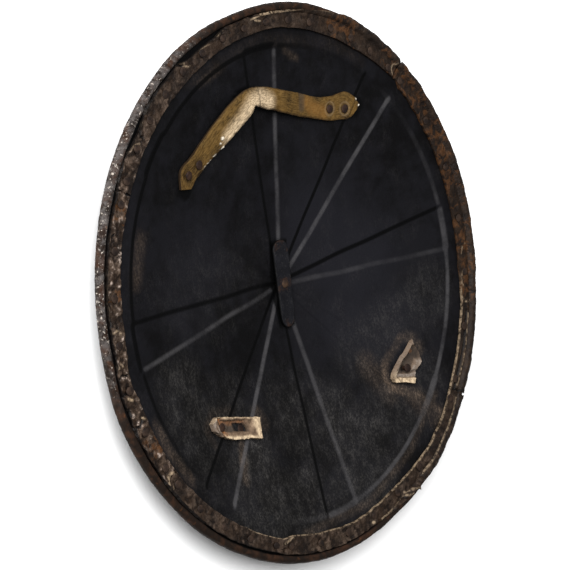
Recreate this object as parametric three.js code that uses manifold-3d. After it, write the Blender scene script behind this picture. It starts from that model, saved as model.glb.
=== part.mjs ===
// Rondache: a round iron shield that lies on its front with the hollow side up.
// Millimetres, +Z up, +Y towards the arm strap. Angles are degrees from +X towards +Y.

import * as THREE from 'three';
import { mergeVertices } from 'three/addons/utils/BufferGeometryUtils.js';
import Module from 'manifold-3d';

const wasm = await Module();
wasm.setup();

// Iron plate
const DIAMETER = 570;          // over the rolled rim
const SHEET = 1.5;             // thickness of the iron sheet
const BORDER_WIDTH = 45.7;     // flat border, from the sunk circle to the outside of the rim
const DISH_DEPTH = 32;         // from the border down to the fields' lowest level
const DISH_CURVE = 1.12;       // power of the dish profile, 1 is a straight cone
const CIRCLE_STEP = 1.3;       // the fields lie this far below the border
const BAND_STEP = 1.3;         // the radial bands lie this far below the fields
const STEP_SLOPE = 3;          // plan width of the soft wall of every step
const BAND_COUNT = 8;
const BAND_WIDE = 46;          // width of a band where it meets the circle
const BAND_NARROW = 4;         // the same width carried on to the centre

// Rolled rim: the sheet dips, turns outwards, up and back over itself
const ROLL_RADIUS = 4.5;
const ROLL_END = 165;          // direction of the free edge seen from the roll's centre
const ROLL_LEAD = 6;           // degrees by which the inside face turns into the roll later

// Fits
const SEAT_GAP = 0.3;          // between any two pieces that lie on each other
const HOLE_CLEARANCE = 0.3;    // round each rivet shank
const DRILL_REACH = 12;        // of every hole's cutter, to both sides of the place it drills

// Leather lining of the border
const LINING_THICKNESS = 2.5;
const LINING_OVER_ROLL = 1.2;  // thickness where it is drawn over the rim
const LINING_WIDTH = 19;       // on the flat border
const LINING_TO_ROLL = 1;      // bare iron between the lining and the roll
const LINING_JOINT = 1.6;      // gap at each joint between two strips
const LINING_ROLL_START = 140; // roll directions between which the leather's outer edge lies:
const LINING_CREST = 48;       // at the foot of the roll, and drawn right over it

// Lining strips in order round the rim: where each starts and ends, its rivets,
// and how far it is drawn over the roll at its start and end (0 not at all, 1 to the crest)
const LINING_STRIPS = [
  { name: 'lining_strip_top', from: 42, to: 147, rivets: 15, drawn: [1, 0] },
  { name: 'lining_strip_left', from: 147, to: 209, rivets: 7, drawn: null },
  { name: 'lining_strip_lower_left', from: 209, to: 248, rivets: 5, drawn: null },
  { name: 'lining_strip_bottom', from: 248, to: 320, rivets: 8, drawn: [0, 1] },
  { name: 'lining_strip_right', from: 320, to: 402, rivets: 7, drawn: [1, 1] },
];
const DRAWN_FULL = 18;         // degrees at its end where a strip lies right over the roll
const DRAWN_RUN = 30;          // degrees after that in which it comes down to the border
const STATION_ROOM = 1;        // degrees kept between a strip's end and its next section
const LOWER_RIGHT_CUT = 5.5;   // the lining is this much narrower round the lower right
const LOWER_RIGHT = [290, 352];
const LOWER_RIGHT_RUNS = 1.5;  // how steeply the cut sets in, 1 is a plain half wave

// Rivets: inside head, shank and outside head
const LINING_RIVET = { head: 4.5, rise: 1.6, shank: 2, outer: 5, outerRise: 1.8, sides: 6 };
const STRAP_RIVET = { head: 4.6, rise: 1.6, shank: 2.2, outer: 5.5, outerRise: 2, sides: 6 };
const RIVET_END_MARGIN = 2.5;  // degrees from a strip's end to its last rivet

// Centre: a straight iron bar across the dish, held by one rivet with a broad flat outer head
const BAR_LENGTH = 90;
const BAR_WIDE = 23;           // towards the arm strap
const BAR_NARROW = 19.5;
const BAR_THICKNESS = 3;
const BAR_DIRECTION = 84.3;    // direction of its wide end
const BOSS_RADIUS = 20;
const BOSS_FLAT = 15;          // radius of the flat that the shield lies on
const BOSS_HEIGHT = 5;
const BOSS_EDGE = 2;           // height of the chamfer under its edge
const CENTRE_RIVET_HEAD = 6;
const CENTRE_RIVET_RISE = 2.6;
const CENTRE_RIVET_SHANK = 3.5;
const CENTRE_RIVET_STEPS = 2;  // of the dome of its inside head

// Leather straps. Each station is a line across the strap: one edge, the other edge, and how
// far the underside stands off the plate at the first edge, in the middle and at the other.
const STRAP_THICKNESS = 3;
const STUB_THICKNESS = 3.6;
const ARM_STRAP_STATIONS = [
  { a: [-137.5, 129], b: [-122, 126], off: [0.3, 0.3, 0.3] },
  { a: [-136, 147], b: [-107, 139], off: [0.5, 0.6, 0.6] },
  { a: [-113, 159], b: [-86, 148.5], off: [0.9, 1.4, 1.8] },
  { a: [-91, 176], b: [-69, 161], off: [2.2, 4.6, 5.5] },
  { a: [-70, 189], b: [-49, 174], off: [4, 7.4, 8] },
  { a: [-49, 200], b: [-29, 181], off: [6, 9, 9] },
  { a: [-26, 206], b: [-22, 187], off: [7.5, 9.6, 9] },
  { a: [-3, 203], b: [-8, 183], off: [8, 9, 8] },
  { a: [22, 195], b: [13, 176], off: [7, 7.5, 6.4] },
  { a: [44, 188], b: [36, 167], off: [5, 5, 4.4] },
  { a: [66, 180], b: [60, 159], off: [2.6, 2.6, 2.4] },
  { a: [84, 175.5], b: [83, 153], off: [1, 1.2, 1] },
  { a: [102, 174], b: [98, 148], off: [0.5, 0.5, 0.5] },
  { a: [121, 174], b: [119, 145.5], off: [0.3, 0.3, 0.3] },
  { a: [139, 161], b: [134, 150], off: [0.3, 0.3, 0.3] },
];
const LEFT_STUB_STATIONS = [
  { a: [-160, -99], b: [-158, -107], off: [1.2, 1.4, 1.2] },
  { a: [-152, -95.5], b: [-146, -119], off: [1, 0.6, 1] },
  { a: [-136, -99.5], b: [-130, -125], off: [0.6, 0.3, 0.8] },
  { a: [-110, -108], b: [-104, -132.5], off: [0.5, 0.3, 1.2] },
  { a: [-87, -115], b: [-92, -136.5], off: [0.8, 0.6, 1.6] },
];
const RIGHT_STUB_STATIONS = [
  { a: [152, -108], b: [160, -106], off: [4.4, 3, 1.6] },
  { a: [143, -114], b: [166, -117], off: [5, 0.8, 2] },
  { a: [130, -123.5], b: [169, -129], off: [5, 0.3, 2.4] },
  { a: [120.5, -131.5], b: [161, -141], off: [4.4, 0.3, 1.4] },
  { a: [124, -140], b: [154, -150], off: [2.2, 1, 1] },
];
// Rivets of the straps: place, and how far the leather's underside stands off the plate there
const ARM_STRAP_RIVETS = [
  { x: -127, y: 140, off: 1 },
  { x: -110.5, y: 147, off: 1.6 },
  { x: 94, y: 161.5, off: 1 },
  { x: 116.5, y: 157, off: 0.6 },
];
const LEFT_STUB_RIVETS = [{ x: -147, y: -107, off: 1.4 }, { x: -113, y: -118.5, sunk: true }];
const RIGHT_STUB_RIVETS = [{ x: 143, y: -131, off: 2 }];
const STUB_HOLE = 6;           // torn hole in the left stub round its second rivet

// Fineness of the faceted surfaces
const FIELD_FACETS = 3;        // across each field
const DISH_RINGS = 2;          // from the centre to the circle
const ROLL_UPPER_FACETS = 4;
const ROLL_LOWER_FACETS = 3;
const ROLL_INNER_FACETS = 4;
const LINING_ROLL_FACETS = 3;
const STRAP_FACETS = 18;
const STUB_FACETS = 7;
const ROUND_SIDES = 12;
const RING_PAST_BANDS = 1.3;   // the innermost ring, in radii at which the bands run together
const MERGE_REACH = 1e-4;      // corners closer than this are one corner

// Sizes worked out from the ones above
const rimRadius = DIAMETER / 2;
const circleRadius = rimRadius - BORDER_WIDTH;
const rollCentre = rimRadius - ROLL_RADIUS;
const rollFoot = rollCentre - ROLL_RADIUS;
const borderLevel = BOSS_HEIGHT + SEAT_GAP + SHEET + BAND_STEP + DISH_DEPTH;
const liningOuter = rollFoot - LINING_TO_ROLL;
const liningInner = liningOuter - LINING_WIDTH;
const sector = 2 * Math.PI / BAND_COUNT;
const bandTaper = (BAND_WIDE - BAND_NARROW) / 2 / circleRadius;
const bandMeeting = (BAND_NARROW + STEP_SLOPE) / 2 / (Math.sin(sector / 2) - bandTaper);
const firstRing = RING_PAST_BANDS * bandMeeting;
const lastRing = circleRadius - STEP_SLOPE;

const radians = THREE.MathUtils.degToRad;
const lerp = THREE.MathUtils.lerp;

const IRON = { color: 0x202126, roughness: 0.62, metalness: 0.75 };
const RUSTED_IRON = { color: 0x4a3a30, roughness: 0.75, metalness: 0.5 };
const BAR_IRON = { color: 0x2b2c31, roughness: 0.6, metalness: 0.7 };
const LINING_LEATHER = { color: 0x3b2a21, roughness: 0.8, metalness: 0 };
const BUFF_LEATHER = { color: 0xa58b5f, roughness: 0.75, metalness: 0 };

const shield = new THREE.Group();

function addPiece(name, geometry, finish) {
  const piece = new THREE.Mesh(geometry, new THREE.MeshStandardMaterial(finish));
  piece.name = name;
  shield.add(piece);
  return piece;
}

// Closed surfaces from rings of points

function surface(points, faces) {
  const geometry = new THREE.BufferGeometry();
  geometry.setAttribute('position', new THREE.Float32BufferAttribute(points.flat(), 3));
  geometry.setIndex(signedVolume(points, faces) < 0 ? faces.map(flip).flat() : faces.flat());
  geometry.computeVertexNormals();
  return geometry;
}

function flip([a, b, c]) {
  return [a, c, b];
}

function signedVolume(points, faces) {
  let volume = 0;
  for (const [a, b, c] of faces) {
    const [p, q, r] = [points[a], points[b], points[c]].map((point) => new THREE.Vector3(...point));
    volume += p.dot(q.cross(r)) / 6;
  }
  return volume;
}

// The faces between two closed rings of points
function ringFaces(first, second, count) {
  const faces = [];
  for (let i = 0; i < count; i += 1) {
    const next = (i + 1) % count;
    faces.push([first + i, first + next, second + next]);
    faces.push([first + i, second + next, second + i]);
  }
  return faces;
}

// A loft through closed sections, with a fan of triangles over each end
function loft(sections) {
  const count = sections[0].length;
  const points = sections.flat();
  const faces = [];
  for (let i = 0; i + 1 < sections.length; i += 1) {
    faces.push(...ringFaces(i * count, (i + 1) * count, count));
  }
  const lastStart = (sections.length - 1) * count;
  for (let i = 1; i + 1 < count; i += 1) {
    faces.push([0, i + 1, i]);
    faces.push([lastStart, lastStart + i, lastStart + i + 1]);
  }
  return surface(points, faces);
}

// A turned form whose profile starts and ends on the axis
function turned(profile, sides) {
  const points = profile.map(([r, z]) => new THREE.Vector2(r, z));
  const geometry = new THREE.LatheGeometry(points, sides);
  geometry.rotateX(Math.PI / 2);
  return merged(geometry);
}

// Cutting with solids

// Shared corners are merged before a form is turned, while they still match to the last digit
function merged(geometry) {
  const bare = geometry.clone();
  bare.deleteAttribute('normal');
  bare.deleteAttribute('uv');
  const joined = mergeVertices(bare, MERGE_REACH);
  const corners = Array.from(joined.index.array);
  const kept = [];
  for (let i = 0; i < corners.length; i += 3) {
    const [a, b, c] = corners.slice(i, i + 3);
    if (a !== b && b !== c && a !== c) kept.push(a, b, c);
  }
  joined.setIndex(kept);
  joined.computeVertexNormals();
  return joined;
}

function solid(geometry) {
  return new wasm.Manifold(new wasm.Mesh({
    numProp: 3,
    vertProperties: new Float32Array(geometry.attributes.position.array),
    triVerts: new Uint32Array(geometry.index.array),
  }));
}

function geometryOf(cut) {
  const mesh = cut.getMesh();
  const geometry = new THREE.BufferGeometry();
  geometry.setAttribute('position', new THREE.BufferAttribute(mesh.vertProperties, 3));
  geometry.setIndex(new THREE.BufferAttribute(mesh.triVerts, 1));
  geometry.computeVertexNormals();
  return geometry;
}

function withHoles(geometry, cutters) {
  let body = solid(geometry);
  for (const cutter of cutters) body = body.subtract(solid(cutter));
  return geometryOf(body);
}

// Form of the plate. Levels are heights of the inside face.

function bandHalfWidth(radius) {
  return BAND_NARROW / 2 + bandTaper * radius;
}

function dishProfile(radius) {
  const fall = DISH_DEPTH - CIRCLE_STEP;
  const share = Math.min(radius / circleRadius, 1) ** DISH_CURVE;
  return borderLevel - CIRCLE_STEP - fall * (1 - share);
}

const dishRadii = Array.from(
  { length: DISH_RINGS + 1 },
  (_, i) => lerp(firstRing, lastRing, i / DISH_RINGS),
);

// Level of a field on the faceted plate: straight between one ring and the next
function fieldLevel(radius) {
  if (radius >= circleRadius) return borderLevel;
  if (radius >= lastRing) {
    return lerp(dishProfile(lastRing), borderLevel, (radius - lastRing) / STEP_SLOPE);
  }
  const radii = [0, ...dishRadii];
  const i = radii.findIndex((inner, k) => radius >= inner && radius <= radii[k + 1]);
  const share = (radius - radii[i]) / (radii[i + 1] - radii[i]);
  return lerp(dishProfile(radii[i]), dishProfile(radii[i + 1]), share);
}

// Angles round the plate: the floor of each band, its two walls, and the field beyond it
function stationAngles(radius) {
  const half = bandHalfWidth(radius);
  const floorEdge = Math.asin((half - STEP_SLOPE / 2) / radius);
  const fieldEdge = Math.asin((half + STEP_SLOPE / 2) / radius);
  const stations = [];
  for (let band = 0; band < BAND_COUNT; band += 1) {
    const middle = band * sector;
    stations.push({ angle: middle - floorEdge, floor: true });
    stations.push({ angle: middle, floor: true });
    stations.push({ angle: middle + floorEdge, floor: true });
    for (let facet = 0; facet <= FIELD_FACETS; facet += 1) {
      const share = facet / FIELD_FACETS;
      const angle = lerp(middle + fieldEdge, middle + sector - fieldEdge, share);
      stations.push({ angle, floor: false });
    }
  }
  return stations;
}

const rimStations = stationAngles(circleRadius);

// Shrinks a radius between two stations so that the point lies on the flat facet there
function onFacet(angle) {
  const turn = 2 * Math.PI;
  const wrapped = ((angle % turn) + turn) % turn;
  const angles = rimStations.map((station) => station.angle);
  angles.push(angles[0] + turn);
  const i = angles.findIndex((start, k) => wrapped >= start && wrapped <= angles[k + 1]);
  if (i < 0) return 1;
  const middle = (angles[i] + angles[i + 1]) / 2;
  return Math.cos((angles[i + 1] - angles[i]) / 2) / Math.cos(wrapped - middle);
}

function polar(radius, angle, level) {
  return [radius * Math.cos(angle), radius * Math.sin(angle), level];
}

function dishRing(radius, drop) {
  return stationAngles(radius).map(({ angle, floor }) => {
    const level = dishProfile(radius) - (floor ? BAND_STEP : 0);
    return polar(radius, angle, level - drop);
  });
}

function rimRing(radius, level) {
  return rimStations.map(({ angle }) => polar(radius, angle, level));
}

function rollArc(radius, from, to, facets) {
  const rings = [];
  for (let i = 0; i <= facets; i += 1) {
    const direction = radians(lerp(from, to, i / facets));
    const ringRadius = rollCentre + radius * Math.cos(direction);
    rings.push(rimRing(ringRadius, borderLevel + radius * Math.sin(direction)));
  }
  return rings;
}

function plateRings() {
  const rollInside = ROLL_RADIUS - SHEET;
  const outerStart = 180 + THREE.MathUtils.radToDeg(Math.asin(SHEET / ROLL_RADIUS));
  const innerStart = outerStart + ROLL_LEAD;
  const outward = 360;
  const freeEdge = ROLL_END + outward;
  const inside = dishRadii.map((radius) => dishRing(radius, 0));
  const outside = dishRadii.map((radius) => dishRing(radius, SHEET));
  return [
    ...inside,
    rimRing(circleRadius, borderLevel),
    rimRing(rollFoot, borderLevel),
    ...rollArc(rollInside, innerStart, freeEdge, ROLL_INNER_FACETS),
    ...rollArc(ROLL_RADIUS, freeEdge, outward, ROLL_UPPER_FACETS),
    ...rollArc(ROLL_RADIUS, outward, outerStart, ROLL_LOWER_FACETS).slice(1),
    rimRing(circleRadius, borderLevel - SHEET),
    ...outside.reverse(),
  ];
}

function plateGeometry() {
  const rings = plateRings();
  const count = rimStations.length;
  const points = rings.flat();
  const faces = [];
  for (let i = 0; i + 1 < rings.length; i += 1) {
    faces.push(...ringFaces(i * count, (i + 1) * count, count));
  }
  const centreLevel = dishProfile(0) - BAND_STEP;
  const top = points.push([0, 0, centreLevel]) - 1;
  const bottom = points.push([0, 0, centreLevel - SHEET]) - 1;
  const lastStart = (rings.length - 1) * count;
  for (let i = 0; i < count; i += 1) {
    const next = (i + 1) % count;
    faces.push([top, next, i]);
    faces.push([bottom, lastStart + i, lastStart + next]);
  }
  return surface(points, faces);
}

// Rivets stand square to the plate where they sit

function plateNormal(x, y) {
  const radius = Math.hypot(x, y);
  if (radius >= circleRadius) return new THREE.Vector3(0, 0, 1);
  const reach = STEP_SLOPE / 2;
  const slope = (fieldLevel(radius + reach) - fieldLevel(radius - reach)) / (2 * reach);
  return new THREE.Vector3(-slope * x / radius, -slope * y / radius, 1).normalize();
}

function stand(object, x, y) {
  object.position.set(x, y, fieldLevel(Math.hypot(x, y)));
  object.quaternion.setFromUnitVectors(new THREE.Vector3(0, 0, 1), plateNormal(x, y));
  object.updateMatrix();
  return object;
}

// How far the plate drops below its fields within a reach of a place
function dropNear(x, y, reach) {
  const radius = Math.hypot(x, y);
  if (radius >= circleRadius) return 0;
  const angle = Math.atan2(y, x);
  const fromBand = angle - sector * Math.round(angle / sector);
  const beside = Math.abs(radius * Math.sin(fromBand)) - reach;
  return beside < bandHalfWidth(radius) + STEP_SLOPE / 2 ? BAND_STEP : 0;
}

function rivetGeometry(spec, seat, drop) {
  const under = -drop - SHEET - SEAT_GAP;
  return turned([
    [0, under - spec.outerRise],
    [spec.outer, under],
    [spec.shank, under],
    [spec.shank, seat],
    [spec.head, seat],
    [0, seat + spec.rise],
  ], spec.sides);
}

function drill(radius, sides) {
  const profile = [[0, -DRILL_REACH], [radius, -DRILL_REACH], [radius, DRILL_REACH], [0, DRILL_REACH]];
  return turned(profile, sides);
}

function rivetCutter(spec, x, y, radius = spec.shank + HOLE_CLEARANCE) {
  const cutter = new THREE.Mesh(drill(radius, spec.sides));
  return cutter.geometry.applyMatrix4(stand(cutter, x, y).matrix);
}

const plateCutters = [];

function addRivet(name, spec, x, y, seat) {
  const drop = dropNear(x, y, spec.outer);
  const rivet = addPiece(name, rivetGeometry(spec, seat, drop), RUSTED_IRON);
  stand(rivet, x, y);
  plateCutters.push(rivetCutter(spec, x, y));
}

// Lining strips

function drawnShare(strip, angle) {
  if (!strip.drawn) return 0;
  const [atStart, atEnd] = strip.drawn;
  if (atStart === atEnd) return atStart;
  const fromHighEnd = atStart > atEnd ? angle - strip.from : strip.to - angle;
  return THREE.MathUtils.clamp(1 - (fromHighEnd - DRAWN_FULL) / DRAWN_RUN, 0, 1);
}

function liningInnerRadius(angle) {
  const [from, to] = LOWER_RIGHT;
  if (angle <= from || angle >= to) return liningInner;
  const share = Math.sin(Math.PI * (angle - from) / (to - from));
  return liningInner + LOWER_RIGHT_CUT * Math.min(1, LOWER_RIGHT_RUNS * share);
}

function liningSection(strip, angle) {
  const turn = radians(angle);
  const shrink = onFacet(turn);
  const low = SEAT_GAP;
  const high = SEAT_GAP + LINING_THICKNESS;
  const inner = liningInnerRadius(angle);
  const at = (radius, level) => polar(radius * shrink, turn, borderLevel + level);
  if (!strip.drawn) {
    return [at(inner, low), at(liningOuter, low), at(liningOuter, high), at(inner, high)];
  }
  const reach = lerp(LINING_ROLL_START, LINING_CREST, drawnShare(strip, angle));
  const facetTurn = radians((180 - reach) / LINING_ROLL_FACETS);
  const lowRadius = (ROLL_RADIUS + 2 * SEAT_GAP) / Math.cos(facetTurn / 2);
  const highRadius = lowRadius + LINING_OVER_ROLL;
  const lowStart = 180 - THREE.MathUtils.radToDeg(Math.asin(low / lowRadius));
  const highStart = 180 - THREE.MathUtils.radToDeg(Math.asin(high / highRadius));
  const onRoll = (radius, start, share) => {
    const direction = radians(lerp(start, reach, share));
    return at(rollCentre + radius * Math.cos(direction), radius * Math.sin(direction));
  };
  const shares = Array.from({ length: LINING_ROLL_FACETS + 1 }, (_, i) => i / LINING_ROLL_FACETS);
  const under = shares.map((share) => onRoll(lowRadius, lowStart, share));
  const over = shares.map((share) => onRoll(highRadius, highStart, share)).reverse();
  return [at(inner, low), ...under, ...over, at(inner, high)];
}

function stripAngles(strip) {
  const jointHalf = THREE.MathUtils.radToDeg(LINING_JOINT / 2 / liningOuter);
  const start = strip.from + jointHalf;
  const end = strip.to - jointHalf;
  const inside = [0, 360]
    .flatMap((turn) => rimStations.map(({ angle }) => THREE.MathUtils.radToDeg(angle) + turn))
    .filter((degrees) => degrees > start + STATION_ROOM && degrees < end - STATION_ROOM);
  return [start, ...inside, end];
}

function liningRivetRadius(angle) {
  const headRoom = LINING_RIVET.head + SEAT_GAP;
  const middle = (liningInnerRadius(angle) + liningOuter) / 2;
  return Math.min(middle, liningOuter - LINING_TO_ROLL - headRoom);
}

let rivetNumber = 0;

function addLiningStrip(strip) {
  const cutters = [];
  const first = strip.from + RIVET_END_MARGIN;
  const last = strip.to - RIVET_END_MARGIN;
  for (let i = 0; i < strip.rivets; i += 1) {
    const angle = lerp(first, last, i / (strip.rivets - 1));
    const [x, y] = polar(liningRivetRadius(angle), radians(angle), 0);
    rivetNumber += 1;
    const name = `lining_rivet_${String(rivetNumber).padStart(2, '0')}`;
    addRivet(name, LINING_RIVET, x, y, LINING_THICKNESS + 2 * SEAT_GAP);
    cutters.push(rivetCutter(LINING_RIVET, x, y));
  }
  const sections = stripAngles(strip).map((angle) => liningSection(strip, angle));
  addPiece(strip.name, withHoles(loft(sections), cutters), LINING_LEATHER);
}

LINING_STRIPS.forEach(addLiningStrip);

// Straps: a leather sheet lofted through its stations

function alongStations(stations, pick, facets) {
  const curve = new THREE.CatmullRomCurve3(
    stations.map((station) => new THREE.Vector3(...pick(station))),
    false,
    'centripetal',
  );
  const last = stations.length - 1;
  return Array.from({ length: facets + 1 }, (_, i) => {
    const share = i / facets;
    return curve.getPoint(Math.min(share * last, last) / last);
  });
}

function strapGeometry(stations, thickness, facets) {
  const first = alongStations(stations, ({ a, off }) => [...a, off[0]], facets);
  const middle = alongStations(
    stations,
    ({ a, b, off }) => [(a[0] + b[0]) / 2, (a[1] + b[1]) / 2, off[1]],
    facets,
  );
  const other = alongStations(stations, ({ b, off }) => [...b, off[2]], facets);
  const sections = first.map((point, i) => {
    const line = [point, middle[i], other[i]];
    const level = ({ x, y, z }) => fieldLevel(Math.hypot(x, y)) + Math.max(z, SEAT_GAP);
    const under = line.map((p) => [p.x, p.y, level(p)]);
    const over = line.map((p) => [p.x, p.y, level(p) + thickness]).reverse();
    return [...under, ...over];
  });
  return loft(sections);
}

function addStrap(name, stations, thickness, facets, rivets) {
  const cutters = rivets.map(({ x, y, sunk }) => {
    const radius = sunk ? STUB_HOLE : STRAP_RIVET.shank + HOLE_CLEARANCE;
    return rivetCutter(STRAP_RIVET, x, y, radius);
  });
  addPiece(name, withHoles(strapGeometry(stations, thickness, facets), cutters), BUFF_LEATHER);
  rivets.forEach(({ x, y, off, sunk }, i) => {
    const seat = SEAT_GAP + (sunk ? -dropNear(x, y, -STRAP_RIVET.head) : off + thickness);
    addRivet(`${name}_rivet_${i + 1}`, STRAP_RIVET, x, y, seat);
  });
}

addStrap('arm_strap', ARM_STRAP_STATIONS, STRAP_THICKNESS, STRAP_FACETS, ARM_STRAP_RIVETS);
addStrap('left_strap_stub', LEFT_STUB_STATIONS, STUB_THICKNESS, STUB_FACETS, LEFT_STUB_RIVETS);
addStrap('right_strap_stub', RIGHT_STUB_STATIONS, STUB_THICKNESS, STUB_FACETS, RIGHT_STUB_RIVETS);

// Centre bar and the rivet that holds it, whose broad outer head is the flat to lie on

const barUnderside = fieldLevel(BAR_LENGTH / 2) + SEAT_GAP;
const barTop = barUnderside + BAR_THICKNESS;

function barOutline() {
  const outline = new THREE.Shape();
  const wide = BAR_WIDE / 2;
  const narrow = BAR_NARROW / 2;
  outline.absarc(BAR_LENGTH / 2 - wide, 0, wide, -Math.PI / 2, Math.PI / 2);
  outline.absarc(narrow - BAR_LENGTH / 2, 0, narrow, Math.PI / 2, 3 * Math.PI / 2);
  return outline;
}

function addBar() {
  const geometry = merged(new THREE.ExtrudeGeometry(barOutline(), {
    depth: BAR_THICKNESS,
    bevelEnabled: false,
    curveSegments: ROUND_SIDES / 2,
  }));
  geometry.rotateZ(radians(BAR_DIRECTION));
  geometry.translate(0, 0, barUnderside);
  const cutter = drill(CENTRE_RIVET_SHANK + HOLE_CLEARANCE, ROUND_SIDES);
  cutter.translate(0, 0, (dishProfile(0) + barTop) / 2);
  plateCutters.push(cutter);
  addPiece('centre_bar', withHoles(geometry, [cutter]), BAR_IRON);
}

// A flat dome from its edge up to the axis
function dome(radius, seat, rise, steps) {
  return Array.from({ length: steps + 1 }, (_, i) => {
    const turn = (Math.PI / 2) * (i / steps);
    return [i < steps ? radius * Math.cos(turn) : 0, seat + rise * Math.sin(turn)];
  });
}

function addCentreRivet() {
  const seat = barTop + SEAT_GAP;
  const underCentre = BOSS_HEIGHT;
  const underEdge = underCentre + dishProfile(BOSS_RADIUS) - dishProfile(0);
  addPiece('centre_rivet', turned([
    [0, 0],
    [BOSS_FLAT, 0],
    [BOSS_RADIUS, BOSS_EDGE],
    [BOSS_RADIUS, Math.max(underEdge - SEAT_GAP, BOSS_EDGE + SEAT_GAP)],
    [CENTRE_RIVET_SHANK, underCentre],
    [CENTRE_RIVET_SHANK, seat],
    ...dome(CENTRE_RIVET_HEAD, seat, CENTRE_RIVET_RISE, CENTRE_RIVET_STEPS),
  ], ROUND_SIDES), RUSTED_IRON);
}

addBar();
addCentreRivet();
addPiece('shield_plate', withHoles(plateGeometry(), plateCutters), IRON);

export default shield;
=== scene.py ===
"""The looks of a rondache: a round iron shield that lies on its front, hollow side up.

Lengths are metres in the CAD frame. Angles are degrees from +X towards +Y.
"""

import math

import bpy
import numpy as np
from mathutils import Matrix, Vector


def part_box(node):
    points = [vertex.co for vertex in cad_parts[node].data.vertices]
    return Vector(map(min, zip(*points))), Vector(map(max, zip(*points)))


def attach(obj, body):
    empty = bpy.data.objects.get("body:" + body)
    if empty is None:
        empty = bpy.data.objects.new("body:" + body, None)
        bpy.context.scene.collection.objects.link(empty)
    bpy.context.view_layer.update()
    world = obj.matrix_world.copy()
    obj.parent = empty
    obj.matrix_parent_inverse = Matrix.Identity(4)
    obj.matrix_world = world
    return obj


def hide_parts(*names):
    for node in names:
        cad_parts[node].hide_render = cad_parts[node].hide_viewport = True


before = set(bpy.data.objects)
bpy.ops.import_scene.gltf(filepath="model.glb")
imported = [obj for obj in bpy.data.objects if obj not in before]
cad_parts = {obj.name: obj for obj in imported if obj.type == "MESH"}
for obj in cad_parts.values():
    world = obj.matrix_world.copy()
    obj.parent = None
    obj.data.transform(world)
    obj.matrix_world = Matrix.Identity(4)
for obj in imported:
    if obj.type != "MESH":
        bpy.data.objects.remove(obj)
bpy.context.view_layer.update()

MM = 0.001
plate_low, plate_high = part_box("shield_plate")

# Iron plate
RIM_RADIUS = (plate_high.x - plate_low.x) / 2
SHEET = 1.5 * MM
BORDER_WIDTH = 45.7 * MM
BORDER_LEVEL = 40.1 * MM
DISH_DEPTH = 32 * MM
DISH_CURVE = 1.12
CIRCLE_STEP = 1.3 * MM
CIRCLE_WALL = 5 * MM           # plan width of the soft step round the sunk circle
CIRCLE_OUT = 3.5 * MM          # by which its top stands outside the CAD model's
BAND_STEP = 1.3 * MM
BAND_WALL = 4.5 * MM           # plan width of a band's soft wall
BAND_COUNT = 8
BAND_WIDE = 46 * MM            # at the circle
BAND_NARROW = 4 * MM           # carried on to the centre
BAND_WANDER = (0.8 * MM, 45 * MM)
ROLL_RADIUS = 4.5 * MM
ROLL_WANDER_SHARE = 0.4        # of its wander by which the roll gets thicker and wider
ROLL_END = 160                 # direction of the roll's free edge seen from its own centre
ROLL_START = 196               # direction in which its outside leaves the border
RAGGED_END = (9, 14 * MM)      # degrees by which the free edge wanders, and over what length

# How uneven the hammered plate is: height and length
LONG_WAVE = (0.9 * MM, 170 * MM)
HAMMER_MARKS = (0.16 * MM, 17 * MM)
PITTING = (0.05 * MM, 3.2 * MM)
CALM_CENTRE = 60 * MM          # radius within which the plate gets truer, for the bar
CALM_RIM = 30 * MM             # width along the roll in which it gets truer
ROLL_WANDER = (0.5 * MM, 38 * MM)
ROLL_SCARS = (0.26 * MM, 5 * MM)
ROLL_PITS = (0.5 * MM, 3.4 * MM)
PITS_FROM = 0.45               # how far the random values have to rise for a pit
UNEVEN_AT_ROLL = 0.3           # share of the unevenness that is left beside the roll
# The rim isn't a true circle: percent of its radius by which it stands out in each direction
OUT_OF_ROUND = (
    (0, 0.0), (45, -0.3), (60, 0.0), (75, -0.3), (97, -1.0), (115, 0.0), (150, 0.2), (180, 0.0),
    (190, 0.8), (212, -0.3), (240, -1.1), (270, -0.4), (285, 0.0), (303, 1.3), (312, 1.3),
    (330, 0.7), (345, -0.2), (360, 0.0),
)
OUT_OF_ROUND_FROM = 0.915      # share of the rim's radius inside which it is true
OUT_OF_ROUND_RUN = 0.06
# Painted highlight lies on the walls of steps that face the light from this direction and painted shade on
# those that face away, and the roll carries a painted highlight on this side
WALL_LIT_SIDE = 140
ROLL_LIT_SIDE = 148
STEEPEST = 1.5                 # slope of a soft step at its middle over its mean slope
WALL_REACH = 2.6 * MM          # over which the slope of a wall is taken

# Fineness of the plate
FLOOR_STATIONS = 3             # from the middle of a band to its wall
WALL_STATIONS = 7
FIELD_STATIONS = 9             # from a wall to the middle of the field
DISH_RINGS = 80
BORDER_RINGS = 8
ROLL_OUTER_RINGS = 14
ROLL_INNER_RINGS = 5
WALL_RINGS = 11
ROLL_CUTS = 2                  # by which the outside of the roll is made finer
OUTSIDE_RINGS = 30

# Fits
SEAT_GAP = 0.3 * MM
MERGE_REACH = 0.001 * MM       # corners nearer than this are one

# Leather lining: each strip's angles and how far it is drawn over the roll at its two ends
LINING_THICKNESS = 2.5 * MM
LINING_OVER_ROLL = 1.2 * MM
LINING_JOINT = 1.6 * MM
LINING_STRIPS = {
    "top": (42, 147, (1, 0)),
    "left": (147, 209, (0, 0)),
    "lower_left": (209, 248, (0, 0)),
    "bottom": (248, 320, (0, 1)),
    "right": (320, 402, (1, 1)),
}
DRAWN_FULL = 18                # degrees at its end where a strip lies right over the roll
DRAWN_RUN = 30                 # degrees after that in which it comes down to the border
LINING_CREST = 46              # direction on the roll where a strip drawn right over it ends
LINING_CLIMB = 150             # direction on the roll where it begins to lie on it
LINING_MEETS = 2.6             # radians, direction in which it first meets the roll
LINING_STEP = 1.15 * MM        # along the rim, from one section to the next
LINING_ROWS = 28               # across a strip
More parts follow.
